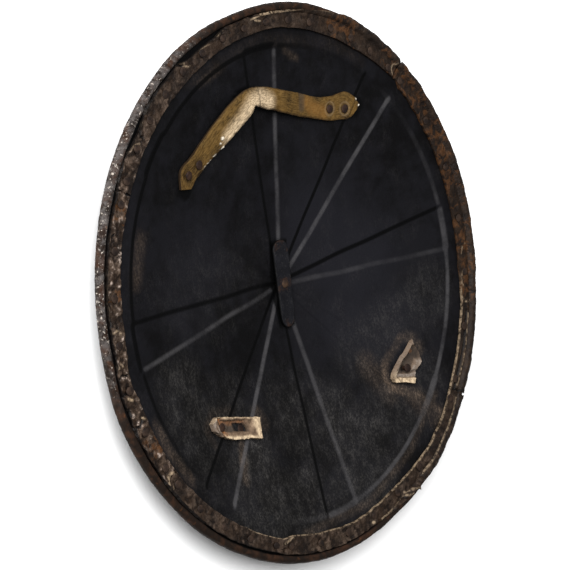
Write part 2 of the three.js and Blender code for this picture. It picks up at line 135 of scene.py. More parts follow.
# Inner edge of the lining as shares of the rim's radius
LINING_INNER_EDGE = (
    (0, 0.900), (20, 0.905), (38.5, 0.908), (40.3, 0.922), (42, 0.916), (57, 0.901), (70, 0.901),
    (82, 0.905), (100, 0.900), (115, 0.894), (132, 0.899), (160, 0.903), (176, 0.900),
    (181, 0.905), (183.5, 0.916), (187.5, 0.914), (190, 0.905), (200, 0.902), (212, 0.903),
    (235, 0.897), (248, 0.904), (251, 0.890), (265, 0.895), (272, 0.906), (290, 0.908),
    (300, 0.926), (310, 0.932), (320, 0.928), (340, 0.920), (349, 0.903), (360, 0.900),
)
# Outer edge where the lining isn't drawn over the roll
LINING_OUTER_EDGE = (
    (60, 0.970), (95, 0.969), (101, 0.968), (103.5, 0.954), (105.5, 0.956), (107, 0.950),
    (113, 0.951), (116.5, 0.966), (121, 0.962), (125, 0.968), (129.5, 0.972), (131.5, 0.957),
    (137.5, 0.956), (139.5, 0.967), (145, 0.969), (147.2, 0.956), (151, 0.961), (160, 0.9635),
    (172, 0.964), (176, 0.959), (181, 0.958), (184, 0.966), (190, 0.964), (192, 0.957),
    (195, 0.971), (200, 0.967), (205, 0.965), (209.5, 0.972), (216, 0.971), (224, 0.968),
    (235, 0.965), (246, 0.961), (250, 0.966), (300, 0.970),
)
# Cracks right through the leather: places as (angle, share of the rim's radius), and width
CRACKS = (
    (((133.2, 0.965), (133.6, 0.952), (134.6, 0.938), (134.3, 0.926)), 1.9 * MM),
    (((117.4, 0.972), (115.8, 0.958), (115.4, 0.947)), 1.5 * MM),
    (((105.0, 0.968), (104.2, 0.950)), 1.3 * MM),
    (((174.0, 0.958), (173.2, 0.954), (172.2, 0.956)), 1.4 * MM),
    (((156.4, 0.950), (155.8, 0.940)), 1.8 * MM),
    (((196.3, 0.965), (194.8, 0.955), (195.4, 0.940), (194.4, 0.925)), 1.7 * MM),
    (((191.6, 0.968), (190.6, 0.962), (190.9, 0.955), (192.2, 0.958)), 1.5 * MM),
    (((188.0, 0.968), (187.6, 0.950), (188.3, 0.930)), 1.6 * MM),
    (((184.6, 0.962), (183.8, 0.945), (184.4, 0.925)), 1.4 * MM),
    (((338.8, 0.949), (334.0, 0.951), (328.0, 0.949), (322.0, 0.946), (319.9, 0.947)), 2.0 * MM),
    (((280.6, 0.985), (279.0, 0.976), (276.8, 0.977), (274.6, 0.970)), 1.4 * MM),
    (((343.4, 0.985), (343.8, 0.965), (344.6, 0.950)), 1.1 * MM),
    (((290.6, 0.985), (289.9, 0.968)), 1.2 * MM),
    (((320.9, 0.985), (320.2, 0.962), (320.4, 0.945)), 1.3 * MM),
)
# Torn lips and folds whose raw edge is pale: places, width, and how pale
PALE_LIPS = (
    (((139.4, 0.974), (138.6, 0.958), (136.8, 0.945), (135.9, 0.930)), 1.6 * MM, 0.5),
    (((133.9, 0.962), (132.2, 0.958), (131.4, 0.966)), 1.6 * MM, 0.7),
    (((130.2, 0.972), (129.2, 0.966), (127.6, 0.967)), 1.8 * MM, 1.0),
    (((117.0, 0.970), (114.6, 0.955), (114.9, 0.940), (113.6, 0.928)), 1.5 * MM, 0.7),
    (((109.6, 0.944), (107.2, 0.948), (105.8, 0.940)), 1.4 * MM, 0.5),
    (((104.6, 0.966), (103.0, 0.955), (101.2, 0.964)), 1.5 * MM, 0.8),
    (((92.0, 0.958), (89.0, 0.966), (86.2, 0.968), (85.2, 0.972)), 1.5 * MM, 0.9),
    (((84.5, 0.968), (80.0, 0.972), (76.0, 0.979), (70.0, 0.985), (66.0, 0.987)), 1.3 * MM, 0.45),
    (((90.6, 0.948), (89.2, 0.940)), 1.6 * MM, 0.7),
    (((174.9, 0.968), (175.3, 0.950), (175.0, 0.930), (175.9, 0.915)), 1.4 * MM, 0.7),
    (((160.0, 0.966), (166.0, 0.965), (171.0, 0.965)), 1.3 * MM, 0.5),
    (((148.4, 0.964), (151.0, 0.966), (154.0, 0.964), (157.0, 0.966)), 1.5 * MM, 0.6),
    (((146.6, 0.968), (144.5, 0.972), (141.0, 0.971)), 1.4 * MM, 0.35),
    (((188.8, 0.945), (189.3, 0.937), (189.6, 0.930)), 1.8 * MM, 1.0),
    (((181.2, 0.968), (182.2, 0.955), (181.6, 0.944), (182.3, 0.935)), 1.7 * MM, 1.0),
    (((193.9, 0.924), (194.6, 0.912)), 1.5 * MM, 0.9),
    (((210.6, 0.974), (209.9, 0.962), (208.5, 0.948), (208.2, 0.930), (208.9, 0.916)), 1.9 * MM, 1.0),
    (((211.2, 0.955), (210.4, 0.945)), 1.2 * MM, 0.6),
    (((248.4, 0.920), (249.6, 0.908), (251.0, 0.898)), 1.8 * MM, 0.9),
    (((338.5, 0.960), (332.0, 0.963), (326.0, 0.960), (321.4, 0.957)), 1.4 * MM, 0.7),
    (((318.5, 0.966), (312.0, 0.969), (306.0, 0.969), (302.0, 0.971), (298.0, 0.967)), 1.5 * MM, 0.6),
    (((341.4, 0.965), (341.0, 0.940), (341.9, 0.922)), 1.5 * MM, 0.7),
    (((348.6, 0.940), (348.2, 0.924), (347.0, 0.914), (345.6, 0.914), (344.7, 0.926)), 1.3 * MM, 0.6),
    (((354.8, 0.955), (354.2, 0.930), (352.6, 0.922)), 1.3 * MM, 0.5),
    (((295.0, 0.990), (293.4, 0.975), (291.2, 0.962), (290.6, 0.952)), 1.3 * MM, 0.7),
    (((293.6, 0.992), (291.8, 0.978), (290.4, 0.968)), 1.1 * MM, 0.6),
    (((290.0, 0.962), (286.0, 0.967), (281.0, 0.970)), 1.3 * MM, 0.5),
    (((278.6, 0.958), (278.1, 0.954)), 2.2 * MM, 1.0),
    (((42.6, 0.975), (43.4, 0.965), (43.6, 0.945), (43.0, 0.930), (42.5, 0.925)), 1.2 * MM, 0.6),
)
# How dusty the leather is in each direction, from 0 to 1; the same share sets its painted glints and paler
# ridges, most on the side towards the light
LINING_DUST_AND_SHEEN = (
    (0, 0.06), (40, 0.1), (70, 0.25), (100, 0.30), (125, 0.55), (145, 0.95), (200, 1.0),
    (215, 0.6), (240, 0.55), (260, 0.6), (290, 0.5), (315, 0.25), (340, 0.1), (360, 0.06),
)
# Directions and widths of rust-orange stains
LINING_STAINS = ((25, 24), (352, 12), (151.5, 2.5), (201, 3), (168, 1.5), (62, 6))
# Angles between which the raw cut of the inner edge faces the light and carries a painted highlight
LIT_CUT = (232, 349)
TUFT_AT = 295                  # torn fibres that stand out past the rim
BULGE = (298, 321)             # angles between which the lining has come loose from the border

# Rivets of the lining and of the straps
LINING_RIVET = {"head": 4.3 * MM, "rise": 0.8 * MM, "shank": 2 * MM,
                "outer": 5 * MM, "outer_rise": 1.8 * MM}
STRAP_RIVET = {"head": 4.6 * MM, "rise": 1.0 * MM, "shank": 2.2 * MM,
               "outer": 5.5 * MM, "outer_rise": 2 * MM}
LINING_RIVET_SINK = 0.4 * MM    # by which its top stays under the CAD rivet's
STRAP_RIVET_SINK = 0.3 * MM
RIVET_SIDES = 28


def deselect_all():
    bpy.ops.object.select_all(action="DESELECT")


def make_active(piece):
    deselect_all()
    piece.select_set(True)
    bpy.context.view_layer.objects.active = piece


def edit(piece, *steps):
    """Runs edit-mode steps on a piece with all of it selected."""
    make_active(piece)
    bpy.ops.object.mode_set(mode="EDIT")
    bpy.ops.mesh.select_all(action="SELECT")
    for step in steps:
        step()
    bpy.ops.object.mode_set(mode="OBJECT")


def add_modifier(piece, kind, **settings):
    modifier = piece.modifiers.new(kind.lower(), kind)
    for setting, value in settings.items():
        setattr(modifier, setting, value)
    make_active(piece)
    bpy.ops.object.modifier_apply(modifier=modifier.name)


def named(piece, name):
    piece.name = name
    piece.data.name = name
    return piece


def corners_of(piece):
    flat = np.empty(len(piece.data.vertices) * 3)
    piece.data.vertices.foreach_get("co", flat)
    return flat.reshape(-1, 3)


def move_corners(piece, places):
    piece.data.vertices.foreach_set("co", np.asarray(places, float).ravel())
    piece.data.update()


def store(piece, name, values):
    """Keeps one number for each corner, for the materials to read."""
    attribute = piece.data.attributes.new(name, "FLOAT", "POINT")
    attribute.data.foreach_set("value", np.asarray(values, float).ravel())


def stored(piece, name):
    values = np.empty(len(piece.data.vertices))
    piece.data.attributes[name].data.foreach_get("value", values)
    return values


def smooth_step(share):
    share = np.clip(share, 0, 1)
    return share * share * (3 - 2 * share)


def lerp(a, b, share):
    return a + (b - a) * share


def random_field(places, size, seed, octaves=1):
    """Smooth random values from about -1 to 1 that change over lengths of about size."""
    table = np.random.default_rng(seed).uniform(-1, 1, (32, 32, 32))
    total = np.zeros(len(places))
    weight = 1.0
    for octave in range(octaves):
        scaled = np.asarray(places) / size * 2 ** octave + 7.3 * octave
        cell = np.floor(scaled).astype(int)
        share = smooth_step(scaled - cell)
        value = np.zeros(len(places))
        for corner in range(8):
            step = np.array([corner & 1, corner >> 1 & 1, corner >> 2 & 1])
            at = (cell + step) % 32
            near = np.prod(np.where(step, share, 1 - share), axis=1)
            value += near * table[at[:, 0], at[:, 1], at[:, 2]]
        total += weight * value
        weight /= 2
    return total


def flat_field(x, y, wave, seed, octaves=1):
    return ripple(np.stack([x, y, np.zeros_like(x)], -1), wave, seed, octaves)


def ripple(places, wave, seed, octaves=1):
    height, length = wave
    return height * random_field(places, length, seed, octaves)


def spun(name, outline, steps):
    """A closed outline of (radius, height) spun round the Z axis. Each corner keeps its place in
    the outline."""
    deselect_all()
    bpy.ops.mesh.primitive_circle_add(vertices=len(outline), fill_type="NOTHING")
    piece = named(bpy.context.object, name)
    move_corners(piece, [(radius, 0, height) for radius, height in outline])
    store(piece, "outline_place", range(len(outline)))
    edit(piece, lambda: bpy.ops.mesh.spin(steps=steps, angle=2 * math.pi, center=(0, 0, 0), axis=(0, 0, 1)))
    return piece


def stations_of(piece, steps):
    """Which of the spin's steps each corner is at, a fraction where an edge has been cut."""
    places = corners_of(piece)
    angle = np.arctan2(places[:, 1], places[:, 0])
    angle = np.where(angle < -0.0001, angle + 2 * math.pi, angle)
    return angle / (2 * math.pi) * steps


def select_faces(piece, chosen):
    """Selects the faces whose corners are all chosen, and opens the piece for editing."""
    make_active(piece)
    bpy.ops.object.mode_set(mode="EDIT")
    bpy.ops.mesh.select_mode(type="FACE")
    bpy.ops.mesh.select_all(action="DESELECT")
    bpy.ops.object.mode_set(mode="OBJECT")
    for polygon in piece.data.polygons:
        polygon.select = all(chosen[corner] for corner in polygon.vertices)
    bpy.ops.object.mode_set(mode="EDIT")


def leave_edit():
    bpy.ops.mesh.select_mode(type="VERT")
    bpy.ops.object.mode_set(mode="OBJECT")


def away_from_line(x, y, line):
    """Distance of places from a line through a few points."""
    nearest = np.full(x.shape, np.inf)
    for (ax, ay), (bx, by) in zip(line, line[1:]):
        run = max((bx - ax) ** 2 + (by - ay) ** 2, 1e-12)
        share = np.clip(((x - ax) * (bx - ax) + (y - ay) * (by - ay)) / run, 0, 1)
        nearest = np.minimum(nearest, np.hypot(x - ax - share * (bx - ax), y - ay - share * (by - ay)))
    return nearest


def face_up(piece):
    if sum(polygon.normal.z for polygon in piece.data.polygons) < 0:
        edit(piece, lambda: bpy.ops.mesh.flip_normals())


def close_up(piece):
    edit(
        piece,
        lambda: bpy.ops.mesh.remove_doubles(threshold=MERGE_REACH),
        lambda: bpy.ops.mesh.normals_make_consistent(inside=False),
    )


def shade_smooth(piece, angle):
    make_active(piece)
    bpy.ops.object.shade_smooth_by_angle(angle=math.radians(angle))


# Form of the iron plate

CIRCLE_RADIUS = RIM_RADIUS - BORDER_WIDTH
ROLL_CENTRE = RIM_RADIUS - ROLL_RADIUS
ROLL_FOOT = ROLL_CENTRE - ROLL_RADIUS
WALL_FOOT = CIRCLE_RADIUS - CIRCLE_WALL + CIRCLE_OUT
SECTOR = 2 * math.pi / BAND_COUNT


def circle_share(radius):
    """0 in the dish and 1 on the border."""
    return smooth_step((radius - WALL_FOOT) / CIRCLE_WALL)


def dish_level(radius):
    """Height of the inside face of a field, or of the border."""
    share = np.clip(radius / CIRCLE_RADIUS, 0, 1) ** DISH_CURVE
    field = BORDER_LEVEL - CIRCLE_STEP - (DISH_DEPTH - CIRCLE_STEP) * (1 - share)
    return lerp(field, BORDER_LEVEL, circle_share(radius))


def band_half_width(radius):
    return lerp(BAND_NARROW, BAND_WIDE, radius / CIRCLE_RADIUS) / 2


def band_share(x, y):
    """1 on the floor of a band and 0 on a field."""
    radius = np.hypot(x, y)
    angle = np.arctan2(y, x)
    from_band = angle - SECTOR * np.round(angle / SECTOR)
    beside = np.abs(radius * np.sin(from_band))
    edge = band_half_width(radius) + flat_field(x, y, BAND_WANDER, seed=3)
    inside = smooth_step((edge + BAND_WALL / 2 - beside) / BAND_WALL)
    return inside * smooth_step((WALL_FOOT - radius) / CIRCLE_WALL + 1.4)


def step_level(x, y):
    """Height of the bands and of the circle's step alone."""
    return CIRCLE_STEP * circle_share(np.hypot(x, y)) - BAND_STEP * band_share(x, y)


def wall_facing(x, y, reach, direction):
    """How squarely the wall of a step faces a direction: 1 towards it, -1 away, 0 off the walls."""
    slope_x = (step_level(x + reach, y) - step_level(x - reach, y)) / (2 * reach)
    slope_y = (step_level(x, y + reach) - step_level(x, y - reach)) / (2 * reach)
    turn = math.radians(direction)
    steepest = STEEPEST * BAND_STEP / BAND_WALL
    return -(slope_x * math.cos(turn) + slope_y * math.sin(turn)) / steepest


def plate_level(x, y):
    """Height of the inside face of the plate with its bands and hammer marks."""
    radius = np.hypot(x, y)
    uneven = (
        flat_field(x, y, LONG_WAVE, seed=5)
        + flat_field(x, y, HAMMER_MARKS, seed=6, octaves=2)
        + flat_field(x, y, PITTING, seed=7, octaves=2)
    )
    rest = smooth_step(radius / CALM_CENTRE)
    steady = smooth_step((ROLL_FOOT - radius) / CALM_RIM)
    return dish_level(radius) - BAND_STEP * band_share(x, y) + uneven * rest * lerp(UNEVEN_AT_ROLL, 1,
                                                                                    steady)


def plate_outline():
    """Rings of the plate from the centre of the inside to the centre of the outside.
    Each is its radius, its height over the inside face and the part of the plate it is on."""
    dish = np.linspace(0, WALL_FOOT - 0.6 * CIRCLE_WALL, DISH_RINGS)
    wall = np.linspace(WALL_FOOT - 0.4 * CIRCLE_WALL, WALL_FOOT + 1.3 * CIRCLE_WALL, WALL_RINGS)
    border = np.linspace(WALL_FOOT + 1.8 * CIRCLE_WALL, ROLL_FOOT, BORDER_RINGS)
    inside = [(radius, 0.0, "dish") for radius in (*dish, *wall, *border)]
    hidden = [(direction, ROLL_RADIUS - SHEET, "roll")
              for direction in np.linspace(ROLL_START + 4, 360 + ROLL_END, ROLL_INNER_RINGS)]
    shown = [(direction, ROLL_RADIUS, "roll")
             for direction in np.linspace(360 + ROLL_END, ROLL_START, ROLL_OUTER_RINGS)]
    back = np.linspace(WALL_FOOT - 0.6 * CIRCLE_WALL, 0, OUTSIDE_RINGS)
    outside = [(radius, -SHEET, "dish") for radius in (*border[-2::-2], *wall[::-1], *back)]
    return inside + hidden + shown + outside


def station_angle(station, radius):
    """Angles of the plate's stations, which gather at the walls of the bands."""
    per_sector = 2 * (FLOOR_STATIONS + WALL_STATIONS + FIELD_STATIONS)
    band = np.round(station / per_sector)
    from_band = station - band * per_sector
    reach = np.maximum(np.minimum(radius, CIRCLE_RADIUS), 0.5 * MM)
    half = band_half_width(reach)
    limit = 0.46 * SECTOR
    room = 0.8 * BAND_WALL
    floor_edge = np.minimum(np.arcsin(np.clip((half - room) / reach, 0.05, 0.9)), 0.7 * limit)
    field_edge = np.minimum(np.arcsin(np.clip((half + room) / reach, 0.1, 0.95)), limit)
    knots = [0, FLOOR_STATIONS, FLOOR_STATIONS + WALL_STATIONS, per_sector / 2]
    step = np.abs(from_band)
    angle = np.where(
        step <= knots[1],
        floor_edge * step / knots[1],
        np.where(
            step <= knots[2],
            lerp(floor_edge, field_edge, (step - knots[1]) / (knots[2] - knots[1])),
            lerp(field_edge, SECTOR / 2, (step - knots[2]) / (knots[3] - knots[2])),
        ),
    )
    even = step / per_sector * SECTOR
    outwards = smooth_step((radius - CIRCLE_RADIUS) / (ROLL_FOOT - CIRCLE_RADIUS))
    return band * SECTOR + np.sign(from_band) * lerp(angle, even, outwards)


def out_of_round(places):
    """Moves places near the rim in or out, with the rim."""
    angle = np.degrees(np.arctan2(places[:, 1], places[:, 0])) % 360
    percent = np.interp(angle, *zip(*OUT_OF_ROUND))
    radius = np.hypot(places[:, 0], places[:, 1])
    share = smooth_step((radius / RIM_RADIUS - OUT_OF_ROUND_FROM) / OUT_OF_ROUND_RUN)
    moved = places.copy()
    moved[:, :2] *= (1 + percent / 100 * share)[:, None]
    return moved


# Painted shade on the plate under the centre bar and the arm strap's arch: how far it reaches beside them,
# and how soft its edge is
SHADE_BESIDE_BAR = 3 * MM
SHADE_BESIDE_STRAP = 1.5 * MM
SHADE_SOFT = 2 * MM


def shade_under(x, y):
    """Painted shade: 1 on the plate under the centre bar and under the arch of the arm strap."""
    turn = math.radians(BAR_DIRECTION)
    along = x * math.cos(turn) + y * math.sin(turn)
    beside = np.abs(y * math.cos(turn) - x * math.sin(turn))
    half = lerp(BAR_NARROW, BAR_WIDE, np.clip(along / BAR_LENGTH + 0.5, 0, 1)) / 2
    bar = smooth_step((half + SHADE_BESIDE_BAR - beside) / SHADE_SOFT)
    bar = bar * smooth_step((BAR_LENGTH / 2 + 1 * MM - np.abs(along)) / (3 * MM))
    middle = [((a[0] + b[0]) / 2 * MM, (a[1] + b[1]) / 2 * MM) for a, b, _ in ARM_STRAP_STATIONS]
    wide = away_from_line(x, y, middle)
    strap = smooth_step((ARM_STRAP_REACH + SHADE_BESIDE_STRAP - wide) / SHADE_SOFT)
    return np.maximum(bar, strap)


# Where dust and rusty soil lie on the plate, and where it is paler: lines in millimetres, how
# wide, and how thick
DUST_LINES = (
    (((-120, -205), (-20, -222), (60, -215)), 60, 0.5),
    (((-30, -130), (60, -190), (150, -160)), 70, 0.45),
    (((-130, -100), (-110, -150)), 60, 0.6),
    (((-190, -60), (-160, -140)), 60, 0.35),
    (((90, -100), (150, -90), (200, -60)), 55, 0.3),
    (((-60, 30), (-160, 20)), 70, 0.12),
)
SOIL_LINES = (
    (((-236, -78), (-226, -105), (-205, -142)), 8, 0.45),
    (((-60, -246), (40, -248), (120, -218), (180, -170)), 7, 0.4),
    (((-166, -106), (-152, -91), (-120, -98)), 6, 0.3),
    (((-84, -112), (-78, -125)), 11, 0.4),
    (((-118, -134), (-128, -168)), 7, 0.55),
    (((-163, -110), (-158, -122)), 6, 0.25),
    (((121, -119), (114, -132), (119, -146), (142, -158), (160, -170), (189, -198)), 8, 1.0),
    (((121, -119), (150, -99), (166, -104), (173, -120)), 8, 0.6),
    (((92, -112), (116, -150)), 20, 0.35),
    (((146, -162), (172, -194)), 18, 0.45),
    (((-110, 226), (0, 250), (110, 226), (150, 200)), 10, 0.08),
    (((40, 232), (52, 222)), 6, 0.35),
    (((-90, 224), (-60, 232)), 8, 0.3),
    (((-225, 60), (-208, 96)), 14, 0.3),
)
PALE_LINES = (
    (((60, 40), (110, 0)), 90, 1.0),
    (((-150, 30), (-120, 60)), 70, 0.5),
    (((80, -60), (130, -80)), 70, 0.9),
)


SPREAD_SOFT = 0.8


def lying_on(x, y, lines):
    """How thickly something lies on the plate at each place, from a table of lines."""
    thick = [strength * patch(x, y, line, width, SPREAD_SOFT) for line, width, strength in lines]
    return np.maximum.reduce(thick)


SCAR_SPAN = 1.2 * MM           # height of the roll's scars from their darkest to their palest
CLEAN_BANDS = 0.45             # share of the dust that is missing in the bands
ROLL_LIT_FROM, ROLL_LIT_RUN = 0.7, 0.22    # cosines from the roll's lit side, over which its painted highlight fades in
ROLL_GAP_SHADE_WIDTH = 9 * MM         # painted black shade beside the roll
ROLL_GAP_SHADE_SOFT = 3 * MM
ROLL_GAP_SHADE_HIGH = 0.52 * ROLL_RADIUS
ROLL_GAP_SHADE_RUN = 0.3 * ROLL_RADIUS


def make_plate():
    outline = plate_outline()
    kinds = np.array([kind for _, _, kind in outline])
    steps = 2 * BAND_COUNT * (FLOOR_STATIONS + WALL_STATIONS + FIELD_STATIONS)
    ring = np.linspace(0, 2 * math.pi, len(outline), endpoint=False)
    loop = [(2 + math.cos(turn), math.sin(turn)) for turn in ring]
    plate = spun("iron_plate", loop, steps)
    place = stored(plate, "outline_place")
    on_rings = np.flatnonzero(kinds == "roll")
    shown = (place > on_rings[ROLL_INNER_RINGS] - 0.5) & (place < on_rings[-1] + 0.5)
    select_faces(plate, shown)
    bpy.ops.mesh.subdivide(number_cuts=ROLL_CUTS)
    leave_edit()

    place = stored(plate, "outline_place")
    station = stations_of(plate, steps)
    numbers = np.arange(len(outline))
    first = np.interp(place, numbers, [entry[0] for entry in outline])
    second = np.interp(place, numbers, [entry[1] for entry in outline])
    on_roll = (place > on_rings[0] - 0.01) & (place < on_rings[-1] + 0.01)
    outside = place > on_rings[ROLL_INNER_RINGS] - 0.01

    radius = np.where(on_roll, ROLL_CENTRE, first)
    angle = station_angle(station, radius)
    x, y = radius * np.cos(angle), radius * np.sin(angle)
    wander = flat_field(x, y, ROLL_WANDER, seed=11, octaves=2)
    share = np.clip((first - ROLL_START) / (360 + ROLL_END - ROLL_START), 0, 1)
    direction = np.radians(first + share * flat_field(x, y, RAGGED_END, seed=12, octaves=2))
    tube = second + ROLL_WANDER_SHARE * wander
    roll_radius = ROLL_CENTRE + tube * np.cos(direction) + ROLL_WANDER_SHARE * wander
    roll_level = BORDER_LEVEL + tube * np.sin(direction) + wander * (1 + np.sin(direction)) / 2
    radius = np.where(on_roll, roll_radius, radius)
    level = np.where(on_roll, roll_level, plate_level(x, y) + np.where(on_roll, 0, second))
    places = np.stack([radius * np.cos(angle), radius * np.sin(angle), level], -1)
    scars = ripple(places, ROLL_SCARS, 13, 3)
    pits = ROLL_PITS[0] * np.maximum(random_field(places, ROLL_PITS[1], seed=14, octaves=2) - PITS_FROM, 0)
    rough = (scars - pits) * on_roll * outside
    places[:, 0] += rough * np.cos(direction) * np.cos(angle)
    places[:, 1] += rough * np.cos(direction) * np.sin(angle)
    places[:, 2] += rough * np.sin(direction)
    x, y = places[:, 0], places[:, 1]
    inside_face = ~on_roll & ~outside
    store(plate, "on_roll", on_roll)
    store(plate, "scarred", np.clip(0.5 - rough / SCAR_SPAN, 0, 1))
    # painted highlight on the walls that face the light, painted shade on those that face away
    towards = wall_facing(x, y, WALL_REACH, WALL_LIT_SIDE) * inside_face
    store(plate, "lit_wall", towards)
    store(plate, "shaded_wall", -towards)
    # painted shade under the bar and the strap's arch
    store(plate, "under_shade", shade_under(x, y) * inside_face)
    in_bands = band_share(x, y) * (np.hypot(x, y) < CIRCLE_RADIUS)
    store(plate, "dust", lying_on(x, y, DUST_LINES) * (1 - CLEAN_BANDS * in_bands) * inside_face)
    store(plate, "soil", lying_on(x, y, SOIL_LINES) * inside_face)
    store(plate, "pale", lying_on(x, y, PALE_LINES) * inside_face)
    # painted highlight on the side of the roll that faces the light
    roll_lit = smooth_step((np.cos(angle - math.radians(ROLL_LIT_SIDE)) - ROLL_LIT_FROM) / ROLL_LIT_RUN)
    store(plate, "roll_lit", roll_lit * on_roll)
    # painted shade in the gap between the border and the roll
    inner_side = (np.hypot(x, y) < ROLL_CENTRE) * (inside_face | on_roll)
    roll_gap_shade = smooth_step((np.hypot(x, y) - ROLL_FOOT + ROLL_GAP_SHADE_WIDTH) / ROLL_GAP_SHADE_SOFT)
    climbed = smooth_step((level - BORDER_LEVEL - ROLL_GAP_SHADE_HIGH) / ROLL_GAP_SHADE_RUN)
    store(plate, "roll_gap_shade", roll_gap_shade * (1 - climbed) * inner_side)
    move_corners(plate, out_of_round(places))
    close_up(plate)
    shade_smooth(plate, angle=60)
    return plate


# Leather lining of the border

def drawn_share(strip, angle):
    start, end, (at_start, at_end) = strip
    if at_start == at_end:
        return np.full_like(angle, at_start)
    from_high_end = angle - start if at_start > at_end else end - angle
    return np.clip(1 - (from_high_end - DRAWN_FULL) / DRAWN_RUN, 0, 1)


def rim_reading(angle, table):
    """Radius at an angle from a table of (angle, share of the rim's radius)."""
    angles, shares = zip(*table)
    return RIM_RADIUS * np.interp(np.asarray(angle) % 360, angles, shares)


def lining_path(inner, outer, reach_share, share):
    """Place (radius, height over the border) of the underside at a share of the way across."""
    reach = np.radians(lerp(LINING_CLIMB, LINING_CREST, reach_share))
    lift = ROLL_RADIUS + 2 * SEAT_GAP
    third = lerp(LINING_MEETS, reach, 0.33)
    two_thirds = lerp(LINING_MEETS, reach, 0.66)
    over = [
        (inner, SEAT_GAP),
        (lerp(inner, outer, 0.6), SEAT_GAP),
        (outer - 1.2 * MM * reach_share, SEAT_GAP + 0.7 * MM * reach_share),
        (lerp(outer, ROLL_CENTRE + lift * np.cos(third), reach_share),
         lerp(SEAT_GAP, lift * np.sin(third), reach_share)),
        (lerp(outer, ROLL_CENTRE + lift * np.cos(two_thirds), reach_share),
         lerp(SEAT_GAP, lift * np.sin(two_thirds), reach_share)),
        (lerp(outer, ROLL_CENTRE + lift * np.cos(reach), reach_share),
         lerp(SEAT_GAP, lift * np.sin(reach), reach_share)),
    ]
    across = [np.broadcast_to(radius, inner.shape) for radius, _ in over]
    up = [np.broadcast_to(height, inner.shape) for _, height in over]
    lengths = [np.zeros_like(inner)]
    for i in range(1, len(over)):
        lengths.append(lengths[-1] + np.hypot(across[i] - across[i - 1], up[i] - up[i - 1]))
    target = share * lengths[-1]
    radius, height = across[-1].copy(), up[-1].copy()
    for i in range(len(over) - 1, 0, -1):
        run = np.maximum(lengths[i] - lengths[i - 1], 1e-9)
        part = np.clip((target - lengths[i - 1]) / run, 0, 1)
        here = target <= lengths[i]
        radius = np.where(here, lerp(across[i - 1], across[i], part), radius)
        height = np.where(here, lerp(up[i - 1], up[i], part), height)
    return radius, height


def roll_flank(radius):
    """Height of the roll over the border at a radius, 0 inside its foot."""
    inwards = np.clip(ROLL_CENTRE - radius, -ROLL_RADIUS, ROLL_RADIUS)
    return np.sqrt(np.maximum(ROLL_RADIUS ** 2 - inwards ** 2, 0)) * (radius < ROLL_CENTRE)


def near_line(angle, radius, marks):
    """1 on a line of (angle, share) marks that runs along the rim, falling to 0 at its width."""
    line, width = marks[0], marks[1]
    per_degree = math.radians(1) * RIM_RADIUS
    middle = line[0][0]
    from_middle = (angle - middle + 180) % 360 - 180
    flat = [((at - middle) * per_degree, share * RIM_RADIUS) for at, share in line]
    return smooth_step(1.6 - 1.6 * away_from_line(from_middle * per_degree, radius, flat) / width)


def strongest(angle, radius, lines):
    total = np.zeros_like(radius)
    for marks in lines:
        strength = marks[2] if len(marks) > 2 else 1
        total = np.maximum(total, strength * near_line(angle, radius, marks))
    return total


def between(angle, limits, soft=2.0):
    """1 between two angles of the rim, soft at both."""
    start, end = limits
    return smooth_step((angle % 360 - start) / soft) * smooth_step((end - angle % 360) / soft)


# Waves of the lining: height and length
INNER_EDGE_WAVE = (0.45 * MM, 12 * MM)
OUTER_EDGE_WAVE = (0.6 * MM, 7 * MM)
DRAWN_EDGE_WAVE = (0.8 * MM, 9 * MM)
LINING_WRINKLE = (0.5 * MM, 16 * MM)
HAND_CUT_LENGTH = 5 * MM
LUMP_LENGTH = 5 * MM
RIDGE_LENGTH = 4.2 * MM
# Heights in millimetres where the dust-and-sheen share is 0 and where it is 1
LUMP_HEIGHT = (0.3, 0.6)
RIDGE_HEIGHT = (0.15, 0.5)
TUFT_LENGTH = 4 * MM
BULGE_RISE = 1.6 * MM
CURLED_EDGE_RISE = 0.7 * MM
LIP_RISE = 0.55 * MM
RIVET_DENT = 6.5 * MM          # radius within which a rivet presses the leather down
RIVET_DENT_DEPTH = 0.6 * MM
RIVET_COLLAR = 5.9 * MM        # radius at which the leather stands up round a rivet
COLLAR_WIDTH = 1.5 * MM
COLLAR_RISE = 0.25 * MM
CRACK_DEPTH = 0.9              # share of the thickness that a crack takes away
LINING_BEVEL = 0.45 * MM


